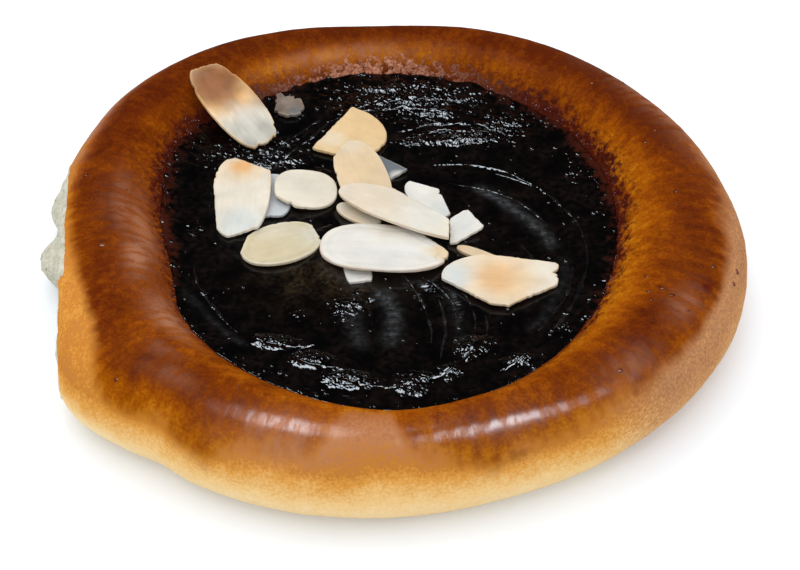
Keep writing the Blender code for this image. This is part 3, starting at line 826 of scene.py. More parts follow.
def flakeTint(flake, sheet, rims, seed):  # colour of each point
    paint = flakePaint
    tint = np.ones(sheet.shape) * np.array(flakeTones[flake["tone"]])
    place = sheet + np.array([0, 0, seed * seedSteps["tint"]])
    edge = dents(paint["spotEdge"], place, 34)
    for tone, u, v, reach, amount in flake["spots"]:
        away = np.hypot(sheet[..., 0] - u, sheet[..., 1] - v) + reach * edge
        tint = toned(tint, tone, amount * stepOver(away / reach, paint["spotStep"]))
    tone, amount = flake["rim"]
    size, uneven = paint["rimBroken"]
    tint = toned(tint, tone, rims * amount * (1 - uneven + uneven * softNoise(place, size, 36)))
    coarse, fine = (softNoise(place, size, seed) for size, seed in zip(paint["mottleSizes"], (35, 37)))
    tint = tint * (1 + flake["mottle"] * (coarse + paint["fineShare"] * fine))[..., None]
    # painted shade: the tint follows the groove relief, darker in the grooves and lighter on their ridges
    run = placesOf(sheet[..., 0], sheet[..., 1], seed * seedSteps["sheet"]) * flakeShape["grooveRun"]
    tint = tint * (1 + paint["paintedGrooveShade"] * flake["groove"] * softNoise(run, 1.0, 33))[..., None]
    # painted light on the lower face and the side
    tint[len(tint) // 2:] *= 1 + paint["paintedUnderLight"]
    return np.concatenate([tint, np.ones((*tint.shape[:2], 1))], axis=-1)


almondLooks = {
    "grain": (0.8, 4.0, 0.3, 0.7), "fleck": (700.0, 3.0),  # cloud patches
    "grainTint": (0.62, 0.46, 0.28), "fleckTint": (0.7, 0.5, 0.3), "paintedCreaseShade": (0.62, 0.52, 0.40),
    "creaseWidth": 0.55, "scatter": (1.0, 0.7, 0.4),
}


def makeAlmondMaterial():
    looks = almondLooks
    material, nodes, shader, place = newMaterial(
        "sliced almond", IOR=1.46, Specular_IOR_Level=0.35, Subsurface_Weight=0.22, Subsurface_Scale=0.0015,
        Subsurface_Radius=looks["scatter"])
    grain = nodes.use(cloudGroup, nodes.read("grainAt", "Vector"), *looks["grain"])
    fleck = nodes.use(cloudGroup, place, *looks["fleck"])
    # painted shade along the crease line inside the outline, where the bump dips
    away = nodes.math("ABSOLUTE", nodes.plus(nodes.read("folds"), nodes.swing(fleck, 0.3)))
    crease = nodes.span(away, looks["creaseWidth"], 0.0)
    colour = nodes.read("tint", "Color")
    shades = (grain, 0.09, "grainTint"), (fleck, 0.05, "fleckTint"), (crease, 0.10, "paintedCreaseShade")
    for mask, amount, tone in shades:
        colour = nodes.mix(nodes.times(mask, amount), colour, looks[tone], "MULTIPLY")
    relief = nodes.plus(*nodes.products((grain, 0.6), (fleck, 0.5), (crease, -2.4)))
    dress(nodes, shader, colour, nodes.span(fleck, 0.0, 1.0, 0.45, 0.6), relief, 0.04, 0.7)
    return material


def makeFlake(name, flake, seed, material):
    sheet, rims, folds = flakeSheet(flake, seed)
    places = sheet @ flakeTurn(flake).T + np.array(flake["at"]) + ringMiddle
    mesh = meshFromRings(name + "_slice", places)
    addLayer(mesh, "tint", flakeTint(flake, sheet, rims, seed), "FLOAT_COLOR", "color")
    grainAt = sheet * flakePaint["grainRun"] + np.array([seed * seedSteps["grain"], 0, 0])
    addLayer(mesh, "grainAt", grainAt, "FLOAT_VECTOR", "vector")
    addLayer(mesh, "folds", folds)
    mesh.materials.append(material)
    handOver(linkObject(name + "_slice", mesh), name)


# The jam: spoon strokes, lumps and the lie of the flakes in it

jamSizes = {
    "radius": 39.5, "edgeHeight": 13.0, "centreHeight": 11.5, "floor": 6.5, "floorRadius": 33.2,
    "rings": 172, "steps": 540, "wallRings": 5, "floorRings": 3,
    "mound": (-1.0, 1.0, 19.0, 1.05),  # fuller middle under the flakes: x, y, reach, height
    "climb": 0.35, "leastClimb": 0.05,  # mm that the ragged edge climbs on the crust
    "climbSwells": [(92, 30, -0.1), (146, 18, 0.3), (24, 28, -0.5), (345, 20, 0.2), (262, 60, -0.32)],
    "climbNoise": ((3.2, 0.30), (1.1, 0.22)), "climbStep": (0.85, 0.15), "closeStep": (0.82, 0.18),
    "edgeLip": 0.07, "lipStep": (1.0, -0.05), "tuck": 0.985, "tuckDepth": 0.6, "gap": 0.05,
}

jamStrokes = [  # broad strokes: three points of an arc, half width, height, greyness (a painted dull sheen)
    ((-2.0, 23.4), (6.0, 24.9), (17.0, 25.8), 0.9, 0.22, 0.0),
    ((8.0, 15.0), (21.5, 11.5), (26.0, 1.0), 1.8, -0.25, 0.0),
    ((12.6, 14.2), (20.9, 6.2), (26.9, -3.6), 1.15, 0.12, 0.9),
    ((9.0, 9.0), (16.0, 5.0), (20.7, -2.0), 3.0, -0.30, 0.0),
    ((-6.8, -17.0), (-6.2, -22.5), (-4.6, -27.5), 1.5, 0.14, 0.5),
    ((-4.6, -13.5), (-3.0, -20.0), (-3.4, -27.0), 0.6, -0.40, 0.0),
    ((-3.2, -11.6), (-0.1, -19.0), (-1.6, -26.5), 1.5, 0.16, 0.8),
    ((3.0, -11.0), (6.8, -18.0), (6.6, -26.5), 1.2, -0.12, 0.0),
    ((8.6, -13.0), (10.2, -19.0), (9.8, -26.0), 1.0, -0.10, 0.3),
    ((-34.5, -12.5), (-30.6, -19.0), (-22.5, -26.5), 0.7, 0.14, 0.4),
    ((-14.0, 30.5), (-2.0, 35.0), (12.0, 34.0), 1.0, 0.30, 0.0),
    ((27.5, -4.0), (26.5, -14.0), (20.5, -23.0), 0.9, 0.10, 0.35),
]

jamRidges = [  # thin crests of the spoon marks, in the same order
    ((-0.9, 26.4), (9.0, 29.8), (19.2, 26.4), 0.42, 0.30, 0.0),
    ((0.5, 25.0), (8.0, 27.6), (16.5, 27.0), 0.40, 0.26, 0.0),
    ((2.0, 17.2), (14.9, 18.3), (28.6, 4.6), 0.30, 0.17, 0.0),
    ((0.6, -9.2), (5.1, -17.6), (5.6, -25.3), 0.26, 0.16, 0.5),
    ((7.0, -14.7), (7.9, -21.7), (7.2, -29.0), 0.26, 0.13, 0.45),
    ((10.1, -11.9), (12.2, -16.5), (12.6, -21.8), 0.26, 0.12, 0.45),
    ((14.0, -17.5), (14.6, -21.0), (13.8, -26.0), 0.30, 0.12, 0.35),
    ((-21.6, 16.8), (-17.0, 22.8), (-11.3, 29.6), 0.36, 0.30, 0.35),
    ((-23.5, 17.5), (-19.0, 24.0), (-13.0, 30.5), 0.30, 0.18, 0.35),
    ((-9.0, 32.5), (0.0, 36.0), (12.0, 35.2), 0.40, 0.26, 0.0),
    ((-12.0, 29.5), (-2.0, 33.2), (9.0, 32.6), 0.36, 0.24, 0.0),
    ((31.5, -2.0), (30.0, -13.0), (24.0, -23.5), 0.34, 0.14, 0.3),
    ((29.0, -5.0), (28.0, -14.0), (22.5, -22.5), 0.30, 0.12, 0.3),
    ((-21.6, -25.0), (-17.0, -26.2), (-12.6, -25.0), 0.40, 0.34, 0.0),
    ((-17.0, -29.0), (-11.5, -31.0), (-6.0, -31.6), 0.45, 0.38, 0.0),
    ((-9.5, -33.4), (-3.0, -35.6), (4.0, -34.6), 0.42, 0.34, 0.0),
    ((4.5, -33.6), (9.5, -30.6), (13.5, -26.0), 0.42, 0.32, 0.0),
    ((10.5, -28.8), (13.0, -26.0), (14.6, -23.4), 0.50, 0.40, 0.0),
    ((16.5, -32.0), (19.5, -30.0), (22.0, -27.5), 0.40, 0.30, 0.0),
    ((3.6, -9.4), (8.6, -15.0), (9.4, -22.6), 0.24, 0.12, 0.4),
    ((17.0, 16.5), (27.6, 8.5), (31.6, -4.0), 0.26, 0.12, 0.35),
    ((8.0, 13.6), (20.2, 9.4), (27.0, -2.0), 0.24, 0.10, 0.3),
    ((19.6, 0.4), (22.6, -6.6), (21.5, -14.5), 0.24, 0.10, 0.3),
    ((-26.5, 14.5), (-21.0, 21.0), (-15.0, 27.0), 0.28, 0.20, 0.35),
    ((-33.0, -7.0), (-30.5, -15.0), (-24.5, -23.0), 0.28, 0.12, 0.3),
]

jamLumps = [  # x, y, half length, half width, turn, height
    (-19.0, -25.3, 3.2, 1.2, -12, 0.50), (-12.9, -29.2, 3.0, 1.8, -14, 0.80),
    (-6.8, -33.6, 3.8, 1.7, -16, 0.72), (12.0, -26.4, 2.6, 1.8, 42, 0.78),
    (1.8, -35.6, 3.0, 1.2, 45, 0.45), (9.0, -31.5, 2.4, 1.2, 50, 0.42),
    (19.4, -29.6, 2.4, 1.2, 38, 0.42), (-7.6, -16.6, 2.6, 1.1, 50, 0.30),
    (8.2, 32.6, 2.4, 0.9, -5, 0.38), (10.5, 25.6, 5.6, 0.9, 3, 0.34), (1.8, 24.2, 2.2, 0.6, 4, 0.30),
    (2.0, 36.5, 5.0, 1.0, 6, 0.25), (-6.5, 31.5, 4.0, 1.0, 14, 0.30),
]

jamRough = [  # x, y, reach along x, reach along y, share
    (2.0, 35.5, 15.0, 6.0, 1.0), (10.5, 26.0, 8.0, 2.4, 1.0), (2.0, 24.2, 3.2, 1.0, 0.9),
    (18.0, 28.5, 9.0, 6.0, 0.75), (-24.5, 21.5, 9.0, 6.5, 1.0), (-19.0, -25.0, 4.2, 1.8, 1.0),
    (-13.0, -29.0, 3.6, 1.6, 1.0), (-7.0, -34.0, 6.0, 1.8, 1.0), (-7.3, -16.5, 3.2, 3.6, 0.85),
    (-14.8, -18.5, 2.6, 1.6, 0.75), (-29.0, -14.0, 3.0, 2.0, 0.45), (-33.5, 2.0, 1.6, 3.0, 0.8),
    (12.5, -26.0, 3.4, 2.6, 1.0), (3.0, -34.5, 4.2, 3.4, 0.9), (9.0, -32.0, 2.2, 2.5, 0.8),
    (19.5, -29.5, 3.6, 2.0, 0.8), (27.0, -22.5, 3.2, 2.2, 0.6), (31.0, 17.0, 3.4, 6.0, 0.6),
    (34.5, 6.0, 1.6, 5.0, 0.5),
]

jamRelief = {  # size and height of soft dents
    "swell": (9.0, 0.12), "grain": (1.8, 0.30), "fineGrain": (0.8, 0.06), "bend": (3.5, 0.35),
    "grainRun": np.array([0.7, 1.15, 1]), "lumpScale": 1.5,
    "ripple": (2.9, 0.012), "rippleMiddle": (9.0, -2.0), "rippleWarp": (8.0, 2.5),
    "scale": (1.7, 0.42), "scaleFront": 0.8, "scaleLean": 0.10,  # lumps that lean to the front
    "scaleWarp": (2.6, 0.75), "scaleRun": np.array([0.6, 1, 1]), "scaleUneven": (2.2, 0.6),
    "scaleStep": (0.25, 0.5), "scaleMean": 0.75, "scaleRange": (0.1, 1.3),
    "calm": 0.035, "calmMiddle": (-1.0, 1.0), "calmReach": 22.0, "calmMore": 0.09,  # grain on smooth jam
    "edgeRough": 0.33, "edgeStep": (0.90, 0.06), "thinStep": (0.90, 0.10),
    "thinSwells": [(30, 34, 1.0), (150, 26, 0.8), (182, 18, 0.8), (330, 30, 0.5), (90, 30, 0.35)],
    "olive": (-13.0, -9.5, 8.5, 5.5),  # browner jam under the flakes: x, y, reach x, reach y
}

jamHug = {  # how the jam rises round a flake and covers its edge; steps outwards from it, then by height
    "sink": 0.05, "most": 0.75, "outside": (6.5, -6.5), "below": (1.7, -0.7),
    "touchOutside": (3.0, -3.0), "touchBelow": (2.5, -0.7),
}

ridgeShape = {
    "step": 0.22, "strokeEnd": 2.5, "wander": (4.0, 0.35), "uneven": (1.3, 0.75), "range": (0.15, 1.7),
    "endPower": 0.35, "sides": 9, "topPower": 1.3, "bottom": -0.35, "sink": 0.03}

ridgeMasks = {"rough": 0.3, "olive": 0.0, "touched": 0.0, "thin": 0.0}


def arcThrough(first, middle, last):  # centre, radius, middle bearing, and the turns from it to both ends
    (ax, ay), (bx, by), (cx, cy) = first, middle, last
    double = 2 * (ax * (by - cy) + bx * (cy - ay) + cx * (ay - by))
    a2, b2, c2 = ax * ax + ay * ay, bx * bx + by * by, cx * cx + cy * cy
    x = (a2 * (by - cy) + b2 * (cy - ay) + c2 * (ay - by)) / double
    y = (a2 * (cx - bx) + b2 * (ax - cx) + c2 * (bx - ax)) / double
    centre, *ends = (np.degrees(np.arctan2(py - y, px - x)) for px, py in (middle, first, last))
    return x, y, np.hypot(ax - x, ay - y), centre, [turnFrom(end, centre) for end in ends]


def strokeShare(x, y, stroke):  # 1 along the middle of a spoon stroke, 0 away from it
    cx, cy, radius, centre, ends = arcThrough(*stroke[:3])
    turn = turnFrom(np.degrees(np.arctan2(y - cy, x - cx)), centre)
    soft = np.degrees(ridgeShape["strokeEnd"] / radius)
    along = stepOver(turn, (min(ends), soft), (max(ends), -soft))
    return along * bell(np.hypot(x - cx, y - cy) - radius, stroke[3])


def lumpRise(x, y, lump):
    middleX, middleY, length, width, turn, height = lump
    cosine, sine = cos(radians(turn)), sin(radians(turn))
    u = (x - middleX) * cosine + (y - middleY) * sine
    v = (y - middleY) * cosine - (x - middleX) * sine
    return height * bell(u, length) * bell(v, width)


def roughShare(x, y):  # where the jam is lumpy and catches the light
    middleX, middleY = jamRelief["calmMiddle"]
    calm = bell(np.hypot(x - middleX, y - middleY), jamRelief["calmReach"])
    rough = jamRelief["calm"] + jamRelief["calmMore"] * calm
    for middleX, middleY, reachX, reachY, share in jamRough:
        rough = np.maximum(rough, share * bell(x - middleX, reachX) * bell(y - middleY, reachY))
    return rough


def flakeHug(places):  # how far the jam rises round the flakes above it, and where it touches them
    shift = np.zeros_like(places[..., 0])
    touched = np.zeros_like(shift)
    for flake in flakes.values():
        turn = flakeTurn(flake)
        local = (places - np.array(flake["at"])) @ turn
        outline = flakeOutline(flake, 0)
        around = np.arctan2(outline[:, 1], outline[:, 0])
        order = np.argsort(around)
        angle = np.arctan2(local[..., 1], local[..., 0])
        reach = np.interp(angle, around[order], np.hypot(*outline[order].T), period=2 * pi)
        outside = np.maximum(np.hypot(local[..., 0], local[..., 1]) - reach, 0.0)
        target = (-flakeShape["thickness"] / 2 + jamHug["sink"] - local[..., 2]) / turn[2, 2]
        near = stepOver(outside, jamHug["outside"]) * stepOver(target, jamHug["below"])
        shift = np.maximum(shift, near * np.clip(target, 0.0, jamHug["most"]))
        near = stepOver(outside, jamHug["touchOutside"]) * stepOver(target, jamHug["touchBelow"])
        touched = np.maximum(touched, near)
    return shift, touched


def jamEdge(bearing):
    return jamSizes["radius"] + swellSum(bearing, doughSizes["pocketSwells"])


def jamClimb(bearing):  # mm that the jam's ragged edge climbs on the crust
    climb = jamSizes["climb"] + swellSum(bearing, jamSizes["climbSwells"])
    for number, sizes in enumerate(jamSizes["climbNoise"]):
        climb = climb + dents(sizes, placesRound(jamSizes["radius"], bearing, 0.0), 48 + number)
    return np.maximum(climb, jamSizes["leastClimb"])


def slopeHeight(climb):  # height of the bread that far outside the jam's own circle
    sizes = doughSizes
    part = climb / (sizes["crestRadius"] - sizes["jamRadius"])
    return sizes["jamEdgeHeight"] + (sizes["crestHeight"] - sizes["jamEdgeHeight"]) * np.sin(part * pi / 2)


def jamLevel(radius, bearing):  # height of the calm jam, before strokes and lumps
    sizes = jamSizes
    share = radius / jamEdge(bearing)
    dish = (sizes["edgeHeight"] - sizes["centreHeight"]) * np.minimum(share, 1.0) ** 2
    x, y = np.moveaxis(placesRound(radius, bearing, 0.0), -1, 0)[:2]
    moundX, moundY, reach, rise = sizes["mound"]
    mound = rise * bell(np.hypot(x - moundX, y - moundY), reach)
    close = stepOver(share, sizes["closeStep"]) ** 2
    climbed = close * (slopeHeight(jamClimb(bearing)) - sizes["edgeHeight"])
    return sizes["centreHeight"] + dish + mound + climbed


def jamTop():  # places on the calm jam, and grids of bearing and share of the way to the edge
    sizes = jamSizes
    share = np.linspace(0, 1, sizes["rings"] + 1)[1:]
    bearing = np.arange(sizes["steps"]) * 360.0 / sizes["steps"]
    share, bearing = np.meshgrid(share, bearing, indexing="ij")
    climb = jamClimb(bearing) * stepOver(share, sizes["climbStep"])
    radius = (jamEdge(bearing) + climb) * share
    return placesRound(radius, bearing, jamLevel(radius, bearing)), bearing, share


def scaleRise(flat, rough):  # long slopes to the front, short ones to the back
    relief = jamRelief
    pitch, height = relief["scale"]
    warp = dents(relief["scaleWarp"], flat * relief["scaleRun"], 61, 2)
    part = (flat[..., 1] + relief["scaleLean"] * flat[..., 0] + warp) / pitch % 1.0
    front = relief["scaleFront"]
    tooth = np.where(part < front, part / front, (1 - part) / (1 - front))
    uneven = np.clip(relief["scaleMean"] + dents(relief["scaleUneven"], flat, 62), *relief["scaleRange"])
    return height * stepOver(rough, relief["scaleStep"]) * uneven * tooth


def jamRise(x, y, rough):  # strokes, lumps and grain over the calm jam, with the strokes' greyness
    relief = jamRelief
    flat = placesOf(x, y, 0.0)
    bentX, bentY = (at + dents(relief["bend"], flat, seed) for at, seed in ((x, 46), (y, 47)))
    shares = [strokeShare(bentX, bentY, stroke) for stroke in jamStrokes]
    rise = sum(share * stroke[4] for share, stroke in zip(shares, jamStrokes))
    grey = np.max([share * stroke[5] for share, stroke in zip(shares, jamStrokes)], axis=0)
    rise = rise + relief["lumpScale"] * sum(lumpRise(x, y, lump) for lump in jamLumps)
    rise = rise + dents(relief["swell"], flat, 41) + scaleRise(flat, rough)
    rise = rise + rough * dents(relief["grain"], flat * relief["grainRun"], 42, 2)
    rise = rise + rough * dents(relief["fineGrain"], flat, 44)
    middleX, middleY = relief["rippleMiddle"]
    swirl = np.hypot(x - middleX, y - middleY) + dents(relief["rippleWarp"], flat, 45)
    width, height = relief["ripple"]
    return rise + height * np.sin(2 * pi * swirl / width), grey


def jamSurface():  # places on the jam's top, and its masks
    relief = jamRelief
    places, bearing, share = jamTop()
    x, y, height = np.moveaxis(places, -1, 0)
    rough = np.maximum(roughShare(x, y), relief["edgeRough"] * stepOver(share, relief["edgeStep"]))
    rise, grey = jamRise(x, y, rough)
    fade = stepOver(share, jamSizes["lipStep"])
    height = height + rise * fade + jamSizes["edgeLip"] * (1 - fade)
    shift, touched = flakeHug(placesOf(x, y, height))
    oliveX, oliveY, reachX, reachY = relief["olive"]
    olive = bell(x - oliveX, reachX) * bell(y - oliveY, reachY)
    thin = stepOver(share, relief["thinStep"]) * np.clip(swellSum(bearing, relief["thinSwells"]), 0, 1)
    masks = {"rough": rough, "grey": grey, "olive": olive, "touched": touched, "thin": thin}
    return placesOf(x, y, height + fade * shift), masks


def jamRing(radius, height):
    bearing = np.arange(jamSizes["steps"]) * 360.0 / jamSizes["steps"]
    radius, height = planPoints(np.full_like(bearing, radius), bearing, np.full_like(bearing, height))
    return placesRound(radius, bearing, height)


def jamBody(top):  # below the edge: down the pocket's side and along its floor
    sizes = jamSizes
    tuck = sizes["tuck"]
    rings = [top[-1] * np.array([tuck, tuck, 1.0]) - np.array([0, 0, sizes["tuckDepth"]])]
    for part in np.linspace(1, 0, sizes["wallRings"], endpoint=False)[1:]:
        radius = sizes["floorRadius"] + (sizes["radius"] - sizes["floorRadius"]) * sin(part * pi / 2)
        height = sizes["floor"] + (sizes["edgeHeight"] - sizes["floor"]) * (1 - cos(part * pi / 2))
        rings.append(jamRing(radius - sizes["gap"], height))
    for part in np.linspace(1, 0, sizes["floorRings"], endpoint=False):
        rings.append(jamRing(sizes["floorRadius"] * part, sizes["floor"]))
    return np.array(rings)


def ridgeRings(ridge, seed):  # closed cross sections along one thin crest
    shape = ridgeShape
    width, height = ridge[3:5]
    cx, cy, radius, centre, ends = arcThrough(*ridge[:3])
    count = int(np.radians(abs(ends[1] - ends[0])) * radius / shape["step"])
    bearing = centre + np.linspace(*ends, count)
    along = placesRound(radius, bearing, seed * seedSteps["ridge"])
    ended = np.sin(pi * np.linspace(0, 1, count)) ** shape["endPower"]
    size = (np.clip(1 + dents(shape["uneven"], along, 52, 2), *shape["range"]) * ended)[:, None]
    side = np.linspace(-1, 1, shape["sides"])
    top = np.cos(side * pi / 2) ** shape["topPower"]
    under = side[-2:0:-1]
    across = np.concatenate([side, under])
    upward = np.concatenate([top, np.full(len(under), shape["bottom"])])
    reach = radius + dents(shape["wander"], along, 51)[:, None] + across * width * size
    x, y = np.moveaxis(placesRound(reach, bearing[:, None], 0.0), -1, 0)[:2]
    x, y = x + cx, y + cy
    base = jamLevel(np.hypot(x, y), np.degrees(np.arctan2(y, x))) + jamRise(x, y, roughShare(x, y))[0]
    base = base + flakeHug(placesOf(x, y, base))[0]
    middle = base[:, shape["sides"] // 2][:, None]
    z = np.where(upward < 0, middle + shape["bottom"], base - shape["sink"] + upward * height * size)
    rings = placesOf(x, y, z)
    inverted = np.mean(ringNormals(rings)[:, shape["sides"] // 2, 2]) < 0
    return rings[:, ::-1] if inverted else rings


def makeRidges(material):  # all thin crests as one piece
    pieces = []
    for seed, ridge in enumerate(jamRidges):
        rings = ridgeRings(ridge, seed)
        mesh = meshFromRings("ridge", rings + ringMiddle)
        for name, value in {**ridgeMasks, "grey": ridge[5]}.items():
            addLayer(mesh, name, np.full(rings.shape[:2], value))
        pieces.append(linkObject("ridge", mesh))
    with bpy.context.temp_override(active_object=pieces[0], selected_editable_objects=pieces):
        bpy.ops.object.join()
    piece = pieces[0]
    piece.name = piece.data.name = "jam_ridges"
    piece.data.materials.append(material)
    handOver(piece)
    print("jam_ridges has", len(piece.data.polygons), "faces")


jamLooks = {
    "black": (0.0008, 0.0006, 0.0006), "deep": (0.0062, 0.0036, 0.0028), "paintedDullSheen": (0.015, 0.0148, 0.0145),
    "oliveTone": (0.026, 0.017, 0.008), "thinTone": (0.040, 0.0075, 0.0035),
    "grain": (950.0, 1.5, 0.3, 0.7), "patches": (260.0, 4.0, 0.3, 0.7), "fibres": (1500.0, 5.0, 0.3, 0.7),
    "strands": (1.0, 3.0), "seeds": (1200.0, 0.4, 0.35),
    "strandRun": np.array([0.22, 1.9, 0.0]),
}

jamSpans = {  # from and to, and what they become where that isn't 0 and 1
    "fibres": (0, 1, 0.15, 1.1), "fibrePatches": (0, 1, 0.3, 1.1), "thin": (0.35, 1.0),
    "strands": (0, 1, 0.75, 1.0), "streaks": (0, 1, 0.6, 1.1), "rough": (0.05, 0.8, 0.10, 1.0),
}


def jamColour(nodes, grain, patches, fibres, grey):
    looks = jamLooks
    colour = nodes.mix(nodes.times(patches, grain), looks["black"], looks["deep"])
    # grey bands: a painted dull sheen of rough jam, mixed into the colour
    colour = nodes.mix(grey, colour, looks["paintedDullSheen"])
    fibrous = nodes.span(fibres, *jamSpans["fibres"])
    fibrous = nodes.times(fibrous, nodes.span(patches, *jamSpans["fibrePatches"]))
    colour = nodes.mix(nodes.times(nodes.read("olive"), fibrous), colour, looks["oliveTone"])
    thin = nodes.read("thin")
    ragged = nodes.plus(thin, nodes.swing(grain, 0.5), nodes.swing(patches, 0.5))
    return nodes.mix(nodes.times(nodes.span(ragged, *jamSpans["thin"]), thin), colour, looks["thinTone"])


def makeJamMaterial():
    material, nodes, shader, place = newMaterial("plum jam", IOR=1.45, Specular_IOR_Level=0.5)
    grain, patches, fibres = (
        nodes.use(cloudGroup, place, *jamLooks[name]) for name in ("grain", "patches", "fibres"))
    strands = nodes.use(cloudGroup, nodes.read("strands", "Vector"), *jamLooks["strands"])
    seeds = nodes.use(speckGroup, place, *jamLooks["seeds"])
    streaky = nodes.span(strands, *jamSpans["strands"])
    streaky = nodes.times(streaky, nodes.span(grain, *jamSpans["streaks"]))
    grey = nodes.times(nodes.read("grey"), streaky)
    colour = jamColour(nodes, grain, patches, fibres, grey)
    rough = nodes.plus(0.07, *nodes.products((grey, 0.5), (patches, 0.05), (nodes.read("touched"), 0.10)))
    relief = nodes.plus(grain, nodes.times(seeds, 0.3))
    relief = nodes.times(relief, nodes.span(nodes.read("rough"), *jamSpans["rough"]))
    relief = nodes.plus(relief, nodes.times(strands, nodes.plus(nodes.times(grey, 0.10), 0.05)))
    dress(nodes, shader, colour, rough, relief, 0.21, 0.9)
    return material


def makeJam():
    top, masks = jamSurface()
    below = jamBody(top)
    rings = np.concatenate([top, below])
    mesh = meshFromRings("plum_jam", rings + ringMiddle)
    for name, mask in masks.items():
        addLayer(mesh, name, np.concatenate([mask, np.zeros(below.shape[:2])]))
    addLayer(mesh, "strands", rings * jamLooks["strandRun"], "FLOAT_VECTOR", "vector")
    mesh.materials.append(makeJamMaterial())
    piece = linkObject("plum_jam", mesh)
    handOver(piece, "jam")
    rough = np.concatenate([masks["rough"], np.zeros(below.shape[:2])])
    return piece, {"x": rings[..., 0], "y": rings[..., 1], "rough": rough, "topRings": len(top)}


# Small loose bits, scattered by Geometry Nodes where a mask on the base is high

bits = {  # slot, density for each square mm, smallest, largest, flatness, unevenness, seed
    "jam_specks_on_crust": ("jam", 1.6, 0.05, 0.19, 0.55, 0.08, 3),
    "crust_blisters": ("crust", 0.035, 0.16, 0.55, 0.40, 0.16, 8),
    "crumb_shreds": ("crust", 1.2, 0.12, 0.40, 0.45, 0.2, 21),
    "jam_grains": ("jam", 1.5, 0.14, 0.60, 0.55, 0.14, 5),
    "almond_crumbs": ("almond", 1.0, 0.14, 0.42, 0.7, 0.25, 13),
}

grainMasks = ("grey", "touched")  # the jam's grains get the painted grey sheen and the roughness of the jam round them

bitShape = {"segments": 8, "rings": 5, "longer": (0.8, 1.7), "noiseScale": 1800.0, "least": 0.02}

bitSpots = {
    "blisters": [(350, 32, 1.0), (30, 25, 0.3), (150, 30, 0.25)],  # bearing, spread, amount
    "crumbs": [(3.4, -14.0, 0.9), (0.2, -15.2, 0.8), (-16.9, 30.4, 0.8), (10.2, -5.0, 0.7),
               (-24.2, 17.0, 0.6)],  # x, y, reach
}

scatterInputs = {"Geometry": "Geometry", "Density": "Float", "Smallest": "Float", "Largest": "Float",
                 "Flatness": "Float", "Unevenness": "Float", "Seed": "Int", "Material": "Material"}


def randomFrom(nodes, seed, offset, low, high):  # one random number for each point
    inputs = {2: low, 3: high, "Seed": nodes.math("ADD", seed, offset)}
    return nodes.add("FunctionNodeRandomValue", inputs, data_type="FLOAT").outputs[1]


def scatterBalls(nodes, given):  # small uneven balls of many sizes, lying on the base
    weight = nodes.add("GeometryNodeInputNamedAttribute", {"Name": "sprinkle"}, data_type="FLOAT")
    density = nodes.times(weight.outputs["Attribute"], given["Density"])
    points = nodes.add(
        "GeometryNodeDistributePointsOnFaces",
        {"Mesh": given["Geometry"], "Density": density, "Seed": given["Seed"]}, distribute_method="RANDOM")
    ball = nodes.add("GeometryNodeMeshUVSphere", {
        "Segments": bitShape["segments"], "Rings": bitShape["rings"], "Radius": 1.0})
    lot = nodes.math("POWER", randomFrom(nodes, given["Seed"], 6, 0.0, 1.0), 2.0)
    size = nodes.times(lot, nodes.math("SUBTRACT", given["Largest"], given["Smallest"]))
    size = nodes.plus(given["Smallest"], size)
    longer = randomFrom(nodes, given["Seed"], 13, *bitShape["longer"])
    scale = nodes.add("ShaderNodeCombineXYZ", {
        "X": nodes.times(size, longer), "Y": size, "Z": nodes.times(size, given["Flatness"])})
    balls = nodes.add("GeometryNodeInstanceOnPoints", {
        "Points": points.outputs["Points"], "Instance": ball.outputs["Mesh"],
        "Rotation": points.outputs["Rotation"], "Scale": scale.outputs["Vector"]})
    angle = nodes.add("ShaderNodeCombineXYZ", {"Z": randomFrom(nodes, given["Seed"], 19, 0.0, 2 * pi)})
    return nodes.add("GeometryNodeRotateInstances", {
        "Instances": balls.outputs["Instances"], "Rotation": angle.outputs["Vector"]}).outputs["Instances"]


def makeScatterTree():
    tree = bpy.data.node_groups.new("scattered bits", "GeometryNodeTree")
    for name, kind in scatterInputs.items():
        tree.interface.new_socket(name=name, in_out="INPUT", socket_type="NodeSocket" + kind)
    tree.interface.new_socket(name="Geometry", in_out="OUTPUT", socket_type="NodeSocketGeometry")
    nodes = NodeBench(tree)
    given = tree.nodes.new("NodeGroupInput").outputs
    real = nodes.add("GeometryNodeRealizeInstances", {"Geometry": scatterBalls(nodes, given)})
    noise = nodes.add("ShaderNodeTexNoise", {"Scale": bitShape["noiseScale"]})
    centred = {0: noise.outputs["Color"], 1: (0.5, 0.5, 0.5)}
    shift = nodes.add("ShaderNodeVectorMath", centred, operation="SUBTRACT").outputs["Vector"]
    scaled = {0: shift, "Scale": given["Unevenness"]}
    push = nodes.add("ShaderNodeVectorMath", scaled, operation="SCALE")
    moved = nodes.add("GeometryNodeSetPosition", {
        "Geometry": real.outputs["Geometry"], "Offset": push.outputs["Vector"]})
    smooth = nodes.add("GeometryNodeSetShadeSmooth", {"Geometry": moved.outputs["Geometry"]})
    painted = nodes.add("GeometryNodeSetMaterial", {
        "Geometry": smooth.outputs["Geometry"], "Material": given["Material"]})
    nodes.add("NodeGroupOutput", {"Geometry": painted.outputs["Geometry"]})
    return tree


def plainMesh(piece):  # what the modifiers made, with nothing below the table
    mesh = bpy.data.meshes.new_from_object(piece.evaluated_get(bpy.context.evaluated_depsgraph_get()))
    places = np.zeros(len(mesh.vertices) * 3, dtype=np.float32)
    mesh.vertices.foreach_get("co", places)
    places[2::3] = np.maximum(places[2::3], bitShape["least"] * mm)
    mesh.vertices.foreach_set("co", places)
    return mesh


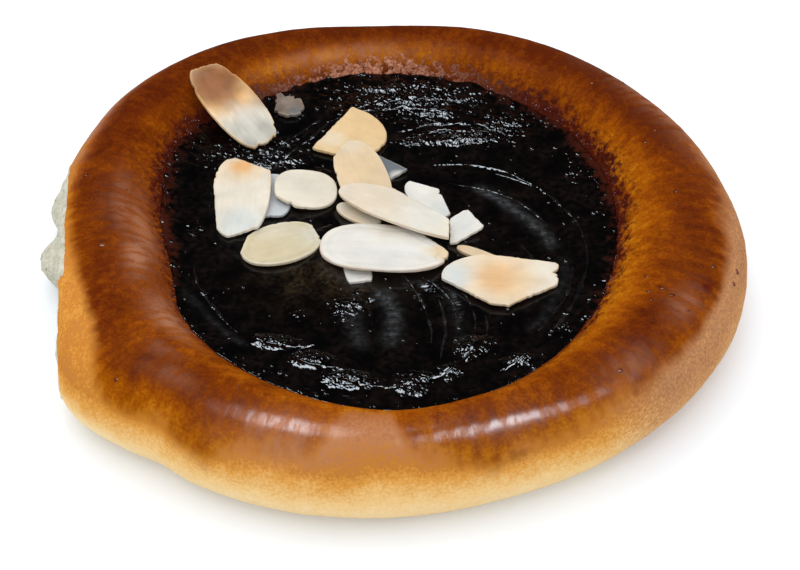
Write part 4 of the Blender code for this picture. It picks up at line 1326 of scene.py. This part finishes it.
def makeBits(name, tree, base, weight, material):
    slot, density, smallest, largest, flatness, unevenness, seed = bits[name]
    values = {"Density": density / mm ** 2, "Smallest": smallest * mm, "Largest": largest * mm,
              "Flatness": flatness, "Unevenness": unevenness * mm, "Seed": seed, "Material": material}
    mesh = base.data.copy()
    spare = [layer.name for layer in mesh.attributes if not (layer.is_required or layer.is_internal)]
    for layerName in set(spare) - set(grainMasks):
        mesh.attributes.remove(mesh.attributes[layerName])
    addLayer(mesh, "sprinkle", weight)
    piece = linkObject(name, mesh)
    scatter = piece.modifiers.new("scatter", "NODES")
    scatter.node_group = tree
    for socket in tree.interface.items_tree:
        if socket.in_out == "INPUT" and socket.name in values:
            scatter[socket.identifier] = values[socket.name]
    plain = plainMesh(piece)
    piece.modifiers.clear()
    piece.data = plain
    plain.name = name
    bpy.data.meshes.remove(mesh)
    handOver(piece)
    print(name, "has", len(plain.polygons), "faces")


def bitMaterial(name, scale, first, second, smooth, rough, depth, **fixed):
    material, nodes, shader, place = newMaterial(name, **fixed)
    clouds = nodes.use(cloudGroup, place, scale, 3.0)
    colour = nodes.mix(clouds, crustColours[first], crustColours[second])
    dress(nodes, shader, colour, nodes.span(clouds, 0, 1, smooth, rough), clouds, depth)
    return material


def makeSpeckMaterial():
    return bitMaterial(
        "jam speck", 600.0, "maroon", "speckRed", 0.15, 0.3, 0.04, IOR=1.5, Specular_IOR_Level=0.5)


def makeBlisterMaterial():
    return bitMaterial(
        "crust blister", 500.0, "dark", "brown", 0.2, 0.3, 0.05, IOR=1.45, Specular_IOR_Level=0.4)


def makeShredMaterial():
    return bitMaterial("torn crumb", 700.0, "crumbShade", "crumb", 0.8, 0.95, 0.08, Specular_IOR_Level=0.1)


def fringeWeight(grids):  # along the edge of the jam's stain
    bearing = grids["bearing"]
    fringe = stepOver(grids["stain"], (-0.8, 0.8), (2.6, -1.2)) * (grids["across"] > 0.0)
    return fringe * (1 - 0.7 * nearTo(bearing, 262, 45)) * (1 - 0.85 * nearTo(bearing, 98, 26))


def blisterWeight(grids):
    return (0.15 + swellSum(grids["bearing"], bitSpots["blisters"])) * bell(grids["across"] - 1.05, 0.3)


def shredWeight(grids):
    foot = nearTo(grids["bearing"], 206, 3.5) * bell(grids["across"] - 2.1, 0.15)
    return np.maximum(0.12 * grids["crumb"], foot)


def grainWeight(grids):
    return np.where(grids["rough"] > 0, np.clip(grids["rough"] - 0.2, 0.02, 1), 0.0)


def crumbWeight(grids):
    weight = sum(bell(np.hypot(grids["x"] - x, grids["y"] - y), reach) for x, y, reach in bitSpots["crumbs"])
    weight[grids["topRings"]:] = 0
    return weight


def makeAllBits(bread, doughGrids, jam, jamGrids, almond):
    tree = makeScatterTree()
    makeBits("jam_specks_on_crust", tree, bread, fringeWeight(doughGrids), makeSpeckMaterial())
    makeBits("crust_blisters", tree, bread, blisterWeight(doughGrids), makeBlisterMaterial())
    makeBits("crumb_shreds", tree, bread, shredWeight(doughGrids), makeShredMaterial())
    makeBits("jam_grains", tree, jam, grainWeight(jamGrids), jam.data.materials[0])
    makeBits("almond_crumbs", tree, jam, crumbWeight(jamGrids), almond)


# Floor, light and camera

viewSizes = {
    "target": (1.22, -9.64, 10.0), "elevation": 43.0, "distance": 400.0, "lens": 109.8, "sensor": 36.0,
    "clip": (10.0, 20000.0),
}

lights = [  # name, place, size x and y, radiance, colour, rays it skips
    ("sky panel", (-150, 170, 1000), (1400, 1400), 1.4, (1.0, 0.99, 0.98), "visible_glossy"),
    ("left strip", (-190, -130, 770), (700, 300), 20.0, (0.83, 0.92, 1.0), "visible_diffuse"),
    ("right strip", (400, -462, 522), (700, 230), 22.0, (0.86, 0.93, 1.0), "visible_diffuse"),
]
lightTarget = (0.0, 0.0, 10.0)

roomLight = {  # what the room gives: soft light, and dark or pale reflections
    "soft": (0.95, 0.97, 1.0), "dark": (0.015, 0.016, 0.018), "pale": (0.50, 0.50, 0.52),
    "paleBelow": -0.42, "darkAbove": -0.10,  # upward part of a direction
}

floorLooks = {
    "size": 4000.0, "height": -0.02, "shade": (0.70, 0.73, 0.76), "light": (0.71, 0.74, 0.77),
    "glow": (0.97, 0.99, 1.0, 1.0), "clouds": (20.0, 2.0)}


def makeCamera():
    data = bpy.data.cameras.new("camera")
    data.lens = viewSizes["lens"]
    data.sensor_width = viewSizes["sensor"]
    data.clip_start, data.clip_end = (reach * mm for reach in viewSizes["clip"])
    camera = linkObject("camera", data)
    lift = radians(viewSizes["elevation"])
    back = Vector((0.0, -cos(lift), sin(lift)))
    camera.location = (Vector(viewSizes["target"]) + back * viewSizes["distance"]) * mm
    camera.rotation_euler = (-back).to_track_quat("-Z", "Y").to_euler()
    bpy.context.scene.camera = camera


def makeLights():
    for name, place, (width, height), radiance, colour, skipped in lights:
        data = bpy.data.lights.new(name, "AREA")
        data.shape = "RECTANGLE"
        data.size = width * mm
        data.size_y = height * mm
        data.energy = radiance * pi * data.size * data.size_y
        data.color = colour
        lamp = linkObject(name, data)
        setattr(lamp, skipped, False)
        lamp.location = Vector(place) * mm
        aim = Vector(lightTarget) * mm - lamp.location
        lamp.rotation_euler = aim.to_track_quat("-Z", "Y").to_euler()


def makeWorld():  # reflections see a dark room over a pale table
    world = bpy.data.worlds.new("studio")
    world.use_nodes = True
    nodes = NodeBench(world.node_tree)
    direction = nodes.add("ShaderNodeTexCoord").outputs["Generated"]
    upward = nodes.add("ShaderNodeSeparateXYZ", {0: direction}).outputs["Z"]
    below = nodes.span(upward, roomLight["darkAbove"], roomLight["paleBelow"])
    mirrored = nodes.mix(below, roomLight["dark"], roomLight["pale"])
    glossy = nodes.add("ShaderNodeLightPath").outputs["Is Glossy Ray"]
    colour = nodes.mix(glossy, roomLight["soft"], mirrored)
    nodes.feed(nodes.tree.nodes["Background"].inputs["Color"], colour)
    bpy.context.scene.world = world


def makeFloor():
    looks = floorLooks
    bpy.ops.mesh.primitive_plane_add(size=looks["size"] * mm, location=(0, 0, looks["height"] * mm))
    floor = bpy.context.object
    floor.name = "floor"
    floor.visible_glossy = False
    material, nodes, shader, place = newMaterial(
        "white paper", Roughness=0.9, Specular_IOR_Level=0.1, Emission_Strength=0.17,
        Emission_Color=looks["glow"])
    shade = nodes.use(cloudGroup, place, *looks["clouds"])
    nodes.feed(shader["Base Color"], nodes.mix(shade, looks["shade"], looks["light"]))
    floor.data.materials.append(material)


def main():
    bpy.context.scene.view_settings.view_transform = "Standard"
    makeCamera()
    makeLights()
    makeWorld()
    makeFloor()
    print("camera, lights and floor made")
    bread, doughGrids = makeDough()
    print("bread made")
    jam, jamGrids = makeJam()
    makeRidges(jam.data.materials[0])
    print("jam made")
    almond = makeAlmondMaterial()
    for seed, (name, flake) in enumerate(flakes.items()):
        makeFlake(name, flake, seed, almond)
    print("almond flakes made")
    makeAllBits(bread, doughGrids, jam, jamGrids, almond)
    print("small bits made")


main()
